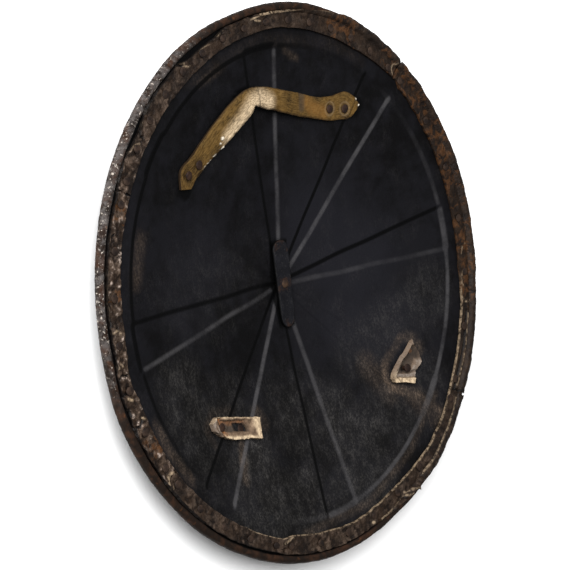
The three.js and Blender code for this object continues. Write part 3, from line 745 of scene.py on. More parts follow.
def make_strip(key, rivets):
    start, end, _ = strip = LINING_STRIPS[key]
    reach = RIM_RADIUS - BORDER_WIDTH / 2
    joint = math.degrees(LINING_JOINT / 2 / reach)
    columns = round(math.radians(end - start) * reach / LINING_STEP)
    deselect_all()
    bpy.ops.mesh.primitive_grid_add(x_subdivisions=columns, y_subdivisions=LINING_ROWS, size=2)
    leather = named(bpy.context.object, f"leather_lining_{key}")
    flat = corners_of(leather)
    along, across = (flat[:, 0] + 1) / 2, (flat[:, 1] + 1) / 2
    angle = lerp(start + joint, end - joint, along)
    on_rim = np.stack([reach * np.cos(np.radians(angle)), reach * np.sin(np.radians(angle)),
                       np.zeros_like(angle)], -1)

    drawn = drawn_share(strip, angle)
    loose = 1 - drawn
    inner = rim_reading(angle, LINING_INNER_EDGE) + ripple(on_rim, INNER_EDGE_WAVE, 21, 3)
    outer = rim_reading(angle, LINING_OUTER_EDGE) + ripple(on_rim, OUTER_EDGE_WAVE, 22, 3) * loose
    tuft = TUFT_LENGTH * smooth_step(1 - np.abs(angle % 360 - TUFT_AT) / 0.5)
    radius, height = lining_path(inner, outer, drawn, across)
    radius = radius + (ripple(on_rim, DRAWN_EDGE_WAVE, 27, 3) * drawn + tuft) \
        * smooth_step((across - 0.82) / 0.18)
    near_end = np.minimum(along, 1 - along) * math.radians(end - start) * reach
    curved_end = 1.2 * MM * (2 * across - 1) ** 4 * smooth_step(1 - near_end / (7 * MM)) * (key == "right")
    turn = np.radians(angle) - np.where(along > 0.5, 1, -1) * curved_end / reach
    # the ends of the strips are cut by hand and not quite square
    cut_at = np.stack([across * 20 * MM, angle, angle * 0], -1)
    turn = turn + (1.2 * MM / reach) * random_field(cut_at, HAND_CUT_LENGTH, seed=23, octaves=2) \
        * smooth_step(1 - near_end / HAND_CUT_LENGTH)
    places = np.stack([radius * np.cos(turn), radius * np.sin(turn), BORDER_LEVEL + height], -1)
    # dust, and painted sheen on the side towards the light
    dust_and_sheen = np.interp(angle % 360, *zip(*LINING_DUST_AND_SHEEN))
    lumps = lerp(*LUMP_HEIGHT, dust_and_sheen) * MM * random_field(places, LUMP_LENGTH, seed=24, octaves=2)
    wrinkle = lumps + ripple(places, LINING_WRINKLE, 25)
    pressed = np.zeros_like(wrinkle)
    collar = np.zeros_like(wrinkle)
    for x, y in rivets:
        away = np.hypot(places[:, 0] - x, places[:, 1] - y)
        pressed = np.maximum(pressed, np.exp(-(away / RIVET_DENT) ** 2))
        collar = np.maximum(collar, smooth_step(1 - np.abs(away - RIVET_COLLAR) / COLLAR_WIDTH))
    bulge = between(angle, BULGE, soft=6.0) * smooth_step((0.75 - across) / 0.3)
    curled = smooth_step((across - 0.72) / 0.28) * loose * (1 - pressed)
    lifted = np.maximum(wrinkle + 0.4 * MM, 0) * (1 - pressed)
    lifted = lifted + CURLED_EDGE_RISE * curled + BULGE_RISE * bulge
    places[:, 2] += lifted
    over_flank = BORDER_LEVEL + roll_flank(radius + 0.3 * MM) + SEAT_GAP
    places[:, 2] = np.where(drawn < 0.5, np.maximum(places[:, 2], over_flank), places[:, 2])
    cracked = strongest(angle, radius, CRACKS)
    lip = strongest(angle, radius, PALE_LIPS)
    store(leather, "dust_and_sheen", dust_and_sheen)
    relief = random_field(places, RIDGE_LENGTH, seed=28, octaves=3) + 0.5 * lumps / MM
    store(leather, "ridge", np.clip(0.5 + 0.45 * relief, 0, 1))
    away = [np.abs((angle - at + 180) % 360 - 180) / wide for at, wide in LINING_STAINS]
    store(leather, "stained", np.maximum.reduce([smooth_step(1.5 - one) for one in away]))
    store(leather, "cracked", cracked)
    store(leather, "lip", lip)
    # painted highlight on the inner cut where it faces the light
    lit_cut_share = between(angle, LIT_CUT, soft=8.0) * smooth_step(1 - across * LINING_ROWS / 2.2)
    store(leather, "lit_cut", lit_cut_share)
    # painted shade on the outer edge where it meets the roll
    roll_gap_shade = smooth_step((across - 0.93) / 0.07) * loose * between(angle, (98, 250), soft=3.0)
    store(leather, "roll_gap_shade", roll_gap_shade)
    store(leather, "pressed", pressed)
    move_corners(leather, out_of_round(places))
    face_up(leather)
    thick = lerp(LINING_THICKNESS, LINING_OVER_ROLL, drawn * smooth_step((across - 0.35) / 0.3))
    thick = thick - RIVET_DENT_DEPTH * pressed + COLLAR_RISE * collar
    thick = thick + lerp(*RIDGE_HEIGHT, dust_and_sheen) * MM * relief
    thick = (thick + LIP_RISE * lip) * (1 - CRACK_DEPTH * cracked)
    most = 1.6 * LINING_THICKNESS
    group = leather.vertex_groups.new(name="thickness")
    for index, value in enumerate(np.clip(thick / most, 0.08, 1)):
        group.add([index], float(value), "REPLACE")
    add_modifier(leather, "SOLIDIFY", thickness=most, offset=1, vertex_group="thickness",
                 use_even_offset=False)
    add_modifier(leather, "BEVEL", width=LINING_BEVEL, segments=2, limit_method="ANGLE",
                 angle_limit=math.radians(60))
    leather.vertex_groups.clear()
    shade_smooth(leather, angle=50)
    return leather


# Rivets

DOME_STEPS = 7
DOME_FLATNESS = 0.8
RIVET_SPREAD = 0.05            # how far a head is out of round
RIVET_STRETCH = 0.06
HAMMERED_HEAD = (0.18 * MM, 2.5 * MM)


def make_rivet(name, spec, seat):
    """A turned rivet with its axis at the origin. seat is the height of its inside head's foot
    over the plate's inside face."""
    under = -SHEET - SEAT_GAP
    dome = [(math.cos(turn), math.sin(turn)) for turn in np.linspace(0, math.pi / 2, DOME_STEPS)]
    dome[-1] = (0.0, 1.0)
    head = [(spec["head"] * across ** DOME_FLATNESS, seat + spec["rise"] * up) for across, up in dome]
    outer = [(spec["outer"] * across ** DOME_FLATNESS, under - spec["outer_rise"] * up) for across,
             up in dome]
    rim = [(spec["head"] * 0.97, seat - 0.15 * MM)]
    outline = outer[::-1] + [(spec["shank"], under), (spec["shank"], seat)] + rim + head
    rivet = spun(name, outline, RIVET_SIDES)
    close_up(rivet)
    return rivet


def stand_rivet(model, node, seed, tilt, sink=0.0):
    """A copy of the model rivet, with a mesh of its own, where the CAD node is."""
    low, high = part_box(node)
    rivet = bpy.data.objects.new(f"{node}_forged", model.data.copy())
    bpy.context.scene.collection.objects.link(rivet)
    x, y = (low.x + high.x) / 2, (low.y + high.y) / 2
    places = corners_of(rivet)
    spread = np.random.default_rng(seed).uniform(-1, 1, 6)
    turn = Matrix.Rotation(spread[0] * math.pi, 4, "Z")
    upright = Vector((0, 0, 1)).rotation_difference(tilt).to_matrix().to_4x4()
    uneven = 1 + RIVET_SPREAD * random_field(places + 10 * spread[1:4] * MM, size=5 * MM, seed=seed,
                                             octaves=2)
    places[:, :2] *= uneven[:, None] * (1 + RIVET_STRETCH * spread[4:6])
    upper = smooth_step(places[:, 2] / (2 * MM))
    hammered = ripple(places + 30 * spread[1:4] * MM, HAMMERED_HEAD, seed, 2)
    places[:, 2] += hammered * upper
    move_corners(rivet, places)
    rivet.data.transform(upright @ turn)
    top = corners_of(rivet)[:, 2].max()
    rivet.data.transform(Matrix.Translation((x, y, high.z - top - sink)))
    shade_smooth(rivet, angle=45)
    return rivet


# Leather straps. Each station: one edge, the other edge, and how far the underside stands off
# the plate at the first edge, in the middle and at the other edge, all in millimetres.

ARM_STRAP_THICKNESS = 3 * MM
ARM_STRAP_REACH = 10.5 * MM    # from its middle line to its edges
ARM_STRAP_STATIONS = (
    ((-138.5, 128.5), (-122, 126), (0.3, 0.3, 0.3)),
    ((-136.5, 147), (-108, 138.5), (0.5, 0.6, 0.6)),
    ((-113, 160), (-86, 150), (0.9, 1.4, 1.8)),
    ((-90, 176), (-67, 160), (2.2, 4.6, 5.5)),
    ((-70, 189), (-48, 171), (4, 7.4, 8)),
    ((-50, 200), (-30, 181), (6, 9, 9)),
    ((-38, 205), (-24, 188.5), (7, 9.4, 9)),
    ((-25, 206), (-21, 186.5), (7.5, 9.6, 9)),
    ((-5, 203), (-8, 182), (8, 9, 8)),
    ((22, 194.5), (13, 175.5), (7, 7.5, 6.4)),
    ((44, 188), (36, 166.5), (5, 5, 4.4)),
    ((66, 180), (60, 159), (2.6, 2.6, 2.4)),
    ((84, 175), (82, 152.5), (1, 1.2, 1)),
    ((101, 174), (98, 148.5), (0.5, 0.5, 0.5)),
    ((121, 175), (120, 146), (0.3, 0.3, 0.3)),
    ((134, 166), (128, 146.5), (0.3, 0.3, 0.3)),
    ((140, 158), (135.5, 152), (0.3, 0.3, 0.3)),
)
LEFT_STUB_STATIONS = (
    ((-161, -99.5), (-159.5, -107), (1.2, 1.4, 1.2)),
    ((-152, -95.5), (-150, -116), (1, 0.6, 1)),
    ((-136, -100), (-131, -125.5), (0.6, 0.3, 0.8)),
    ((-110, -108), (-105, -132), (0.5, 0.3, 1.2)),
    ((-87, -115), (-92, -136.5), (0.8, 0.6, 1.6)),
)
RIGHT_STUB_STATIONS = (
    ((154.5, -105.5), (158.5, -105), (4.4, 3, 1.6)),
    ((145, -112), (165.5, -113.5), (5, 0.8, 2)),
    ((134, -119.5), (168.5, -122), (5, 0.3, 2.4)),
    ((125, -126), (167.5, -131.5), (4.8, 0.3, 1.8)),
    ((119.5, -131), (157.5, -139), (4.4, 0.3, 1.4)),
    ((118.5, -136), (153.5, -146), (3.2, 0.6, 1.2)),
    ((121.5, -141), (150.5, -150.5), (2.2, 1, 1)),
)
ARM_STRAP_SMOOTHING = 0.035    # share of its length over which its outline is rounded
STUB_SMOOTHING = 0.06


def along_stations(points, share, smoothing):
    """Place at shares of the way through the stations, with the corners rounded."""
    points = np.asarray(points, float)
    fine = np.linspace(-0.5, 1.5, 1201)
    last = len(points) - 1
    window = np.hanning(max(3, round(smoothing * 600) * 2 + 1))
    values = []
    for column in points.T:
        line = np.interp(fine * last, np.arange(last + 1), column)
        first_slope, last_slope = column[1] - column[0], column[-1] - column[-2]
        line = line + np.minimum(fine, 0) * last * first_slope + np.maximum(fine - 1, 0) * last * last_slope
        smooth = np.convolve(line, window / window.sum(), mode="same")
        values.append(np.interp(share, fine, smooth))
    return np.stack(values, -1)


def strap_grid(name, stations, columns, rows, smoothing, fray, seed):
    """A grid laid through the stations of a strap, with its long edges frayed: the piece, its
    shares along and across, and its places with the height of the underside over the plate."""
    deselect_all()
    bpy.ops.mesh.primitive_grid_add(x_subdivisions=columns, y_subdivisions=rows, size=2)
    strap = named(bpy.context.object, name)
    flat = corners_of(strap)
    along, across = (flat[:, 0] + 1) / 2, (flat[:, 1] + 1) / 2
    first = along_stations([(*a, off[0]) for a, _, off in stations], along, smoothing)
    other = along_stations([(*b, off[2]) for _, b, off in stations], along, smoothing)
    halfway = [((a[0] + b[0]) / 2, (a[1] + b[1]) / 2, off[1]) for a, b, off in stations]
    middle = along_stations(halfway, along, smoothing)
    bow = (4 * across * (1 - across))[:, None]
    places = (lerp(first, other, across[:, None]) + bow * (middle - (first + other) / 2)) * MM
    way = (other - first)[:, :2]
    way = way / np.hypot(way[:, 0], way[:, 1])[:, None]
    on_edge = np.stack([along * 200 * MM, np.sign(across - 0.5) * 50 * MM, np.zeros_like(along)], -1)
    ragged = fray * random_field(on_edge, size=6 * MM, seed=seed,
                                 octaves=3) * smooth_step((np.abs(across - 0.5) - 0.34) / 0.16)
    places[:, :2] += ragged[:, None] * way
    return strap, along, across, places


def thicken(piece, bevel):
    """Gives a sheet its stored thickness upwards, and marks its sides."""
    face_up(piece)
    thick = stored(piece, "thick")
    most = float(thick.max())
    group = piece.vertex_groups.new(name="thickness")
    for index, value in enumerate(np.clip(thick / most, 0.05, 1)):
        group.add([index], float(value), "REPLACE")
    add_modifier(piece, "SOLIDIFY", thickness=most, offset=1, vertex_group="thickness",
                 use_even_offset=False)
    add_modifier(piece, "BEVEL", width=bevel, segments=3, limit_method="ANGLE",
                 angle_limit=math.radians(55))
    piece.vertex_groups.clear()
    mark_sides(piece)
    shade_smooth(piece, angle=50)


def mark_sides(piece):
    """Stores how steep a piece is at each corner: 0 where it faces up and 1 at its sides, where the
    materials paint shade.
    """
    normals = np.empty(len(piece.data.vertices) * 3)
    piece.data.vertex_normals.foreach_get("vector", normals)
    store(piece, "side_shade", np.clip(4.5 * (0.97 - normals.reshape(-1, 3)[:, 2]), 0, 1))


# Where the arm strap is rubbed pale and carries a painted highlight at its bend, and where it is stained, in
# millimetres
RUBBED_LIT_LINE = ((-64, 165), (-44, 177), (-29, 191), (-16, 194), (-2, 187))
RUBBED_LIT_WIDTH = 15
CROSS_STAIN = ((50, 186), (49, 172))
CROSS_STAIN_WIDTH = 7
AMBER_PATCH = ((57, 176), (66, 168), (84, 160))
AMBER_WIDTH = 11
FRAYED_EDGE = ((-103, 141), (-75, 155))
WHITE_FLAKES = ((-74.1, 165.8, 2.4), (-73, 157, 2.0), (-77.5, 161.5, 1.3),
                (134.5, 164.5, 1.6), (139, 156.5, 1.7))


def patch(x, y, line, width, soft=0.5):
    """1 within about a width of a line in millimetres, soft at its edge."""
    return smooth_step((width * MM - away_from_line(x, y, [(a * MM, b * MM) for a, b in line]))
                       / (soft * width * MM))


def spot(x, y, spots):
    return np.maximum.reduce([smooth_step(1.6 - 1.6 * np.hypot(x - a * MM, y - b * MM) / (size * MM))
                              for a, b, size in spots])


STRAP_WRINKLE = (0.3 * MM, 11 * MM)
STRAP_GRAIN = (0.16 * MM, 2.6 * MM)
FRAY_LENGTH = 1.8 * MM
STRAP_DENT = 6 * MM
STRAP_DENT_DEPTH = 0.9 * MM
STRAP_COLLAR = 6.8 * MM
STRAP_COLLAR_WIDTH = 2 * MM
STRAP_COLLAR_RISE = 0.35 * MM
STRAP_EDGE_WEAR = 0.5 * MM
FLAKE_RISE = 0.8 * MM


def make_arm_strap(rivets):
    strap, along, across, places = strap_grid(
        "buff_arm_strap", ARM_STRAP_STATIONS, columns=300, rows=26,
        smoothing=ARM_STRAP_SMOOTHING, fray=0.35 * MM, seed=61)
    x, y = places[:, 0], places[:, 1]
    stand_off = np.maximum(places[:, 2], SEAT_GAP)
    wrinkle = ripple(places * [1, 1, 0], STRAP_WRINKLE, 62, 3)
    frayed = patch(x, y, FRAYED_EDGE, width=4) * smooth_step((across - 0.9) / 0.08)
    frayed = frayed * smooth_step(random_field(places * [1, 1, 0], FRAY_LENGTH, seed=64, octaves=2) * 2)
    places[:, 2] = plate_level(x, y) + stand_off + np.maximum(wrinkle + 0.2 * MM, 0)
    flakes = spot(x, y, WHITE_FLAKES)
    pressed = np.zeros_like(x)
    collar = np.zeros_like(x)
    for rivet_x, rivet_y in rivets:
        away = np.hypot(x - rivet_x, y - rivet_y)
        pressed = np.maximum(pressed, np.exp(-(away / STRAP_DENT) ** 2))
        collar = np.maximum(collar, smooth_step(1 - np.abs(away - STRAP_COLLAR) / STRAP_COLLAR_WIDTH))
    store(strap, "rubbed_and_lit", patch(x, y, RUBBED_LIT_LINE, RUBBED_LIT_WIDTH, soft=1.0))
    store(strap, "stain", patch(x, y, CROSS_STAIN, CROSS_STAIN_WIDTH, soft=0.7))
    store(strap, "amber", patch(x, y, AMBER_PATCH, AMBER_WIDTH, soft=0.8))
    store(strap, "flake", np.maximum(flakes, frayed))
    store(strap, "pressed", pressed)
    store(strap, "collar", collar * (x > 0))
    store(strap, "strap_length", along)
    store(strap, "strap_width", across)
    edge = smooth_step((np.abs(across - 0.5) - 0.42) / 0.08)
    store(strap, "edge", edge)
    grain = ripple(places, STRAP_GRAIN, 63, 2)
    thick = ARM_STRAP_THICKNESS - STRAP_DENT_DEPTH * pressed + STRAP_COLLAR_RISE * collar
    thick = thick - STRAP_EDGE_WEAR * edge
    store(strap, "thick", thick + grain + FLAKE_RISE * flakes)
    move_corners(strap, places)
    thicken(strap, bevel=0.6 * MM)
    return strap


def box_share(along, across, alongs, acrosses, soft=0.05):
    """1 inside a rectangle of the shares along and across, soft at its edges."""
    inside = np.minimum.reduce([along - alongs[0], alongs[1] - along, across - acrosses[0],
                                acrosses[1] - across])
    return smooth_step(inside / soft + 0.5)


# The left stub: shares along (left to right) and across (top to bottom)
STUB_SLOT = ((0.37, 0.78), (0.15, 0.67))
STUB_HOLE = ((0.59, 0.76), (0.28, 0.66))
STUB_RUST = ((0.29, 0.38), (0.05, 0.95))
STUB_CURL = ((-1.0, 0.24), (-1.0, 2.0))


LEFT_STUB_THICKNESS = 3.8 * MM
SLOT_DEPTH = 2.6 * MM
RUST_DEPTH = 2.2 * MM
CURL_RISE = 1.1 * MM
CREASE_DEPTH = 3 * MM
CREAM_RISE = 0.5 * MM
LEFT_STUB_WAVE = (0.35 * MM, 5 * MM)
LEFT_STUB_GRAIN = (0.16 * MM, 1.8 * MM)
LEFT_STUB_THINNEST = 0.7 * MM


def make_left_stub():
    stub, along, across, places = strap_grid(
        "torn_left_stub", LEFT_STUB_STATIONS, columns=130, rows=44,
        smoothing=STUB_SMOOTHING, fray=0.5 * MM, seed=71)
    x, y = places[:, 0], places[:, 1]
    wobble = 0.022 * random_field(places, size=6 * MM, seed=72, octaves=2)
    along, across = along + wobble, across + 1.5 * wobble
    slot = box_share(along, across, *STUB_SLOT, soft=0.06)
    hole = box_share(along, across, *STUB_HOLE, soft=0.05)
    rust = box_share(along, across, *STUB_RUST, soft=0.06)
    curl = box_share(along, across, *STUB_CURL, soft=0.10)
    crease = smooth_step(1 - np.abs(np.hypot((along - 0.21) / 0.10,
                                             (across - 0.62) / 0.34) - 1) / 0.4) * curl
    fold = smooth_step(1 - np.abs(along - 0.265 - 0.05 * np.sin(7 * across)) / 0.022)
    cream = np.maximum(smooth_step((along - 0.86) / 0.08),
                       smooth_step((across - 0.80) / 0.12) * (along > 0.3))
    top_edge = smooth_step((0.10 - across) / 0.05)
    places[:, 2] = plate_level(x, y) + np.maximum(places[:, 2], SEAT_GAP)
    thick = LEFT_STUB_THICKNESS - SLOT_DEPTH * slot - RUST_DEPTH * rust * (across < 0.8)
    thick = thick + CURL_RISE * curl - CREASE_DEPTH * crease
    thick = thick + CREAM_RISE * cream + ripple(places, LEFT_STUB_WAVE, 73, 2)
    thick = np.maximum(thick + ripple(places, LEFT_STUB_GRAIN, 74, 2), LEFT_STUB_THINNEST)
    store(stub, "cream", np.maximum(cream * (1 - slot), 0.7 * top_edge))
    store(stub, "rust", np.maximum(rust, 0.45 * slot * smooth_step((0.45 - across) / 0.2)))
    round_slot = smooth_step(1 - np.abs(slot - 0.5) / 0.35)
    # painted shade in the crease, round the hole, in the fold and at the slot's rim
    store(stub, "dark", np.maximum.reduce([crease, 0.9 * smooth_step((hole - 0.02) / 0.4), 0.8 * fold,
                                           0.55 * round_slot]))
    store(stub, "sunk", slot)
    store(stub, "grey", curl * (1 - crease))
    store(stub, "thick", thick)
    move_corners(stub, places)
    select_faces(stub, hole > 0.5)
    bpy.ops.mesh.delete(type="FACE")
    leave_edit()
    thicken(stub, bevel=0.5 * MM)
    return stub


# The right stub: how far its raised rim and its thick lower band reach, as shares
STUB_RIM = 0.11
STUB_BAND = 0.80
STUB_TONGUE = ((0.42, 0.66), (0.78, 1.2))
STUB_PIT = (141.5, -131.5, 5.0)
STUB_SPOT = (156.6, -115.6, 3.4)


RIGHT_STUB_THICKNESS = 1.3 * MM    # where it isn't raised
RAISED_BY = 3.4 * MM
PIT_DEPTH = 0.9 * MM
RIGHT_STUB_WAVE = (0.25 * MM, 5 * MM)
RIGHT_STUB_GRAIN = (0.14 * MM, 1.8 * MM)
RIGHT_STUB_THINNEST = 0.5 * MM


def make_right_stub():
    stub, along, across, places = strap_grid(
        "torn_right_stub", RIGHT_STUB_STATIONS, columns=96, rows=72,
        smoothing=STUB_SMOOTHING, fray=0.4 * MM, seed=81)
    x, y = places[:, 0], places[:, 1]
    wobble = 0.02 * random_field(places, size=6 * MM, seed=82, octaves=2)
    along, across = along + wobble, across + wobble
    rim_wide = STUB_RIM * (0.75 + 1.1 * along)
    rim = smooth_step((rim_wide - across) / 0.05 + 0.5)
    top_rim = smooth_step((0.10 - along) / 0.06 + 0.5)
    band = smooth_step((along - STUB_BAND) / 0.05 + 0.5)
    layer = smooth_step((along - STUB_BAND + 0.13) / 0.04) * (1 - band) * smooth_step((across - 0.2) / 0.1)
    tongue = box_share(along, across, *STUB_TONGUE, soft=0.10)
    pit = spot(x, y, (STUB_PIT,))
    places[:, 2] = plate_level(x, y) + np.maximum(places[:, 2], SEAT_GAP)
    raised = np.maximum.reduce([rim, 0.8 * top_rim, 1.15 * band, 0.45 * layer, 0.6 * tongue])
    thick = RIGHT_STUB_THICKNESS + RAISED_BY * raised - PIT_DEPTH * pit
    thick = thick + ripple(places, RIGHT_STUB_WAVE, 83, 2)
    thick = np.maximum(thick + ripple(places, RIGHT_STUB_GRAIN, 84, 2), RIGHT_STUB_THINNEST)
    store(stub, "cream", np.maximum(band, rim * smooth_step((along - 0.45) / 0.4)))
    store(stub, "rust", 0.8 * spot(x, y, (STUB_SPOT,)))
    foot = smooth_step(1 - np.abs(across - rim_wide - 0.05) / 0.05) * smooth_step((along - 0.1) / 0.1)
    # painted shade in the pit and at the foot of the rim, and a darker unraised upper part
    store(stub, "dark",
          np.maximum.reduce([pit, 0.5 * smooth_step((0.5 - along) / 0.2) * (1 - raised), 0.6 * foot]))
    store(stub, "sunk", 1 - np.clip(raised, 0, 1))
    store(stub, "grey", np.maximum.reduce([rim * 0.8, layer, tongue, top_rim * 0.6]) * (1 - band))
    store(stub, "thick", thick)
    move_corners(stub, places)
    thicken(stub, bevel=0.5 * MM)
    return stub


# Centre bar and the rivet that holds it

BAR_LENGTH = 90 * MM
BAR_WIDE = 23 * MM
BAR_NARROW = 19.5 * MM
BAR_DIRECTION = 84.3
BAR_VOXEL = 0.8 * MM
BAR_SIDES = 64
BAR_BEVEL = 0.5 * MM
BAR_WAVE = (0.26 * MM, 9 * MM)
CENTRE_RIVET_SIDES = 48


def make_bar():
    low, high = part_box("centre_bar")
    thickness = high.z - low.z
    deselect_all()
    bpy.ops.mesh.primitive_circle_add(vertices=BAR_SIDES, fill_type="NGON")
    bar = named(bpy.context.object, "forged_centre_bar")
    outline = []
    for turn in np.linspace(0, 2 * math.pi, BAR_SIDES, endpoint=False):
        half = (BAR_WIDE if math.cos(turn) > 0 else BAR_NARROW) / 2
        centre = math.copysign(BAR_LENGTH / 2 - half, math.cos(turn))
        outline.append((centre + half * math.cos(turn), half * math.sin(turn), 0))
    move_corners(bar, outline)
    edit(
        bar,
        lambda: bpy.ops.mesh.extrude_region_move(TRANSFORM_OT_translate={"value": (0, 0, thickness)}),
    )
    edit(bar, lambda: bpy.ops.mesh.normals_make_consistent(inside=False))
    add_modifier(bar, "BEVEL", width=BAR_BEVEL, segments=2, limit_method="ANGLE",
                 angle_limit=math.radians(50))
    add_modifier(bar, "REMESH", mode="VOXEL", voxel_size=BAR_VOXEL)
    places = corners_of(bar)
    uneven = [random_field(places, BAR_WAVE[1], seed, octaves=3) for seed in (41, 42, 43)]
    places += BAR_WAVE[0] * np.stack(uneven, -1)
    move_corners(bar, places)
    turned = Matrix.Rotation(math.radians(BAR_DIRECTION), 4, "Z")
    bar.data.transform(Matrix.Translation((0, 0, low.z)) @ turned)
    mark_sides(bar)
    shade_smooth(bar, angle=60)
    return bar


def make_centre_rivet():
    """Its broad flat outer head is what the shield lies on."""
    boss_radius, boss_flat, boss_edge, boss_top = 20 * MM, 15 * MM, 2 * MM, 5 * MM
    shank, head, rise = 3.5 * MM, 4.6 * MM, 1.4 * MM
    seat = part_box("centre_bar")[1].z + SEAT_GAP
    boss_under = boss_top + float(dish_level(np.array(boss_radius)) - dish_level(np.array(0.0)))
    dome = [(head * math.cos(turn), seat + rise * math.sin(turn)) for turn in np.linspace(0, math.pi / 2, 8)]
    dome[-1] = (0.0, seat + rise)
    round_edge = [(boss_flat + (boss_radius - boss_flat) * math.sin(turn), boss_edge * (1 - math.cos(turn)))
                  for turn in np.linspace(0, math.pi / 2, 6)]
    outline = ([(0.0, 0.0), (boss_flat * 0.5, 0.0)] + round_edge
               + [(boss_radius, boss_under - SEAT_GAP - 0.6 * MM),
                  (boss_radius - 0.8 * MM, boss_under - SEAT_GAP)]
               + [(shank, boss_top), (shank, seat), (head * 0.96, seat - 0.1 * MM)] + dome)
    rivet = spun("forged_centre_rivet", outline, CENTRE_RIVET_SIDES)
    close_up(rivet)
    places = corners_of(rivet)
    upper = smooth_step((places[:, 2] - boss_top) / MM)
    places += (0.24 * MM * upper)[:, None] * np.stack(
        [random_field(places, size=4 * MM, seed=seed, octaves=2) for seed in (51, 52, 53)], -1)
    move_corners(rivet, places)
    shade_smooth(rivet, angle=45)
    return rivet


# Shader helpers

class Wiring:
    """Adds nodes to one node tree and joins them."""

    def __init__(self, tree):
        self.tree = tree

    def add(self, kind, inputs=None, **settings):
        node = self.tree.nodes.new(kind)
        for setting, value in settings.items():
            setattr(node, setting, value)
        for socket, value in (inputs or {}).items():
            self.feed(node, socket, value)
        return node

    def feed(self, node, socket, value):
        if isinstance(value, bpy.types.NodeSocket):
            self.tree.links.new(value, node.inputs[socket])
        else:
            node.inputs[socket].default_value = value

    def math(self, operation, *values):
        return self.add("ShaderNodeMath", dict(enumerate(values)), operation=operation).outputs[0]

    def times(self, first, second):
        return self.math("MULTIPLY", first, second)

    def spread(self, value, times, plus):
        return self.math("MULTIPLY_ADD", value, times, plus)

    def most(self, first, second):
        return self.math("MAXIMUM", first, second)

    def inverse(self, share):
        return self.math("SUBTRACT", 1.0, share)

    def mix(self, share, first, second):
        node = self.add("ShaderNodeMix", data_type="RGBA")
        for socket, value in ((0, share), (6, first), (7, second)):
            self.feed(node, socket, value)
        return node.outputs[2]

    def layer(self, colour, mask, over, strength):
        """Lays a colour over another by a mask."""
        return self.mix(self.math("MULTIPLY", mask, strength), colour, over)

    def ramp(self, value, low, high):
        """0 below low, 1 above high, soft between."""
        node = self.add("ShaderNodeMapRange", {"Value": value, "From Min": low, "From Max": high},
                        interpolation_type="SMOOTHSTEP", clamp=True)
        return node.outputs[0]

    def noise(self, vector, scale, detail=2.0, roughness=0.5, distortion=0.0):
        node = self.add("ShaderNodeTexNoise", {"Vector": vector, "Scale": scale, "Detail": detail,
                                               "Roughness": roughness, "Distortion": distortion})
        return node.outputs["Fac"]

    def object_place(self, stretch=(1, 1, 1), shift=(0, 0, 0)):
        place = self.add("ShaderNodeTexCoord").outputs["Object"]
        mapping = self.add("ShaderNodeMapping", {"Vector": place, "Scale": stretch, "Location": shift})
        return mapping.outputs[0]

    def attribute(self, name):
        return self.add("ShaderNodeAttribute", attribute_name=name).outputs["Fac"]


def new_group(name, inputs, outputs):
    """A shader node group with float inputs and outputs by name."""
    tree = bpy.data.node_groups.new(name, "ShaderNodeTree")
    for socket, value in inputs.items():
        made = tree.interface.new_socket(socket, in_out="INPUT", socket_type="NodeSocketFloat")
        made.default_value = value
    for socket in outputs:
        tree.interface.new_socket(socket, in_out="OUTPUT", socket_type="NodeSocketFloat")
    wiring = Wiring(tree)
    return wiring, wiring.add("NodeGroupInput").outputs, wiring.add("NodeGroupOutput")


def make_bloom_group():
    """Blotches with ragged edges, as rust or dirt makes them."""
    wiring, given, put_out = new_group(
        "ragged_blotches", {"Scale": 40.0, "Cover": 0.3, "Softness": 0.12, "Shift": 0.0}, ("Mask",))
    shift = wiring.add("ShaderNodeCombineXYZ",
                       {"X": given["Shift"], "Y": given["Shift"], "Z": given["Shift"]})
    place = wiring.add("ShaderNodeVectorMath", {0: wiring.object_place(), 1: shift.outputs[0]},
                       operation="ADD").outputs[0]
    blotch = wiring.noise(place, given["Scale"], detail=6.0, roughness=0.62, distortion=0.4)
    limit = wiring.math("SUBTRACT", 0.8, wiring.times(given["Cover"], 0.6))
    full = wiring.math("ADD", limit, given["Softness"])
    mask = wiring.add("ShaderNodeMapRange", {"Value": blotch, "From Min": limit, "From Max": full})
    wiring.feed(put_out, "Mask", mask.outputs[0])
    return wiring.tree


def make_pitting_group():
    """Height of corroded, hammered metal: low dents with small sharp pits in them."""
    wiring, given, put_out = new_group(
        "pitted_metal", {"Dents": 60.0, "Pits": 520.0, "Pit Depth": 0.5}, ("Height",))
    place = wiring.object_place()
    dents = wiring.noise(place, given["Dents"], detail=3.0, roughness=0.55)
    pits = wiring.noise(place, given["Pits"], detail=4.0, roughness=0.7)
    sharp = wiring.math("POWER", wiring.ramp(pits, low=0.3, high=0.75), 2.0)
    height = wiring.spread(sharp, given["Pit Depth"], dents)
    wiring.feed(put_out, "Height", height)
    return wiring.tree


CRACK_WARP = 0.014    # how far the cells of the cracks are drawn out of shape


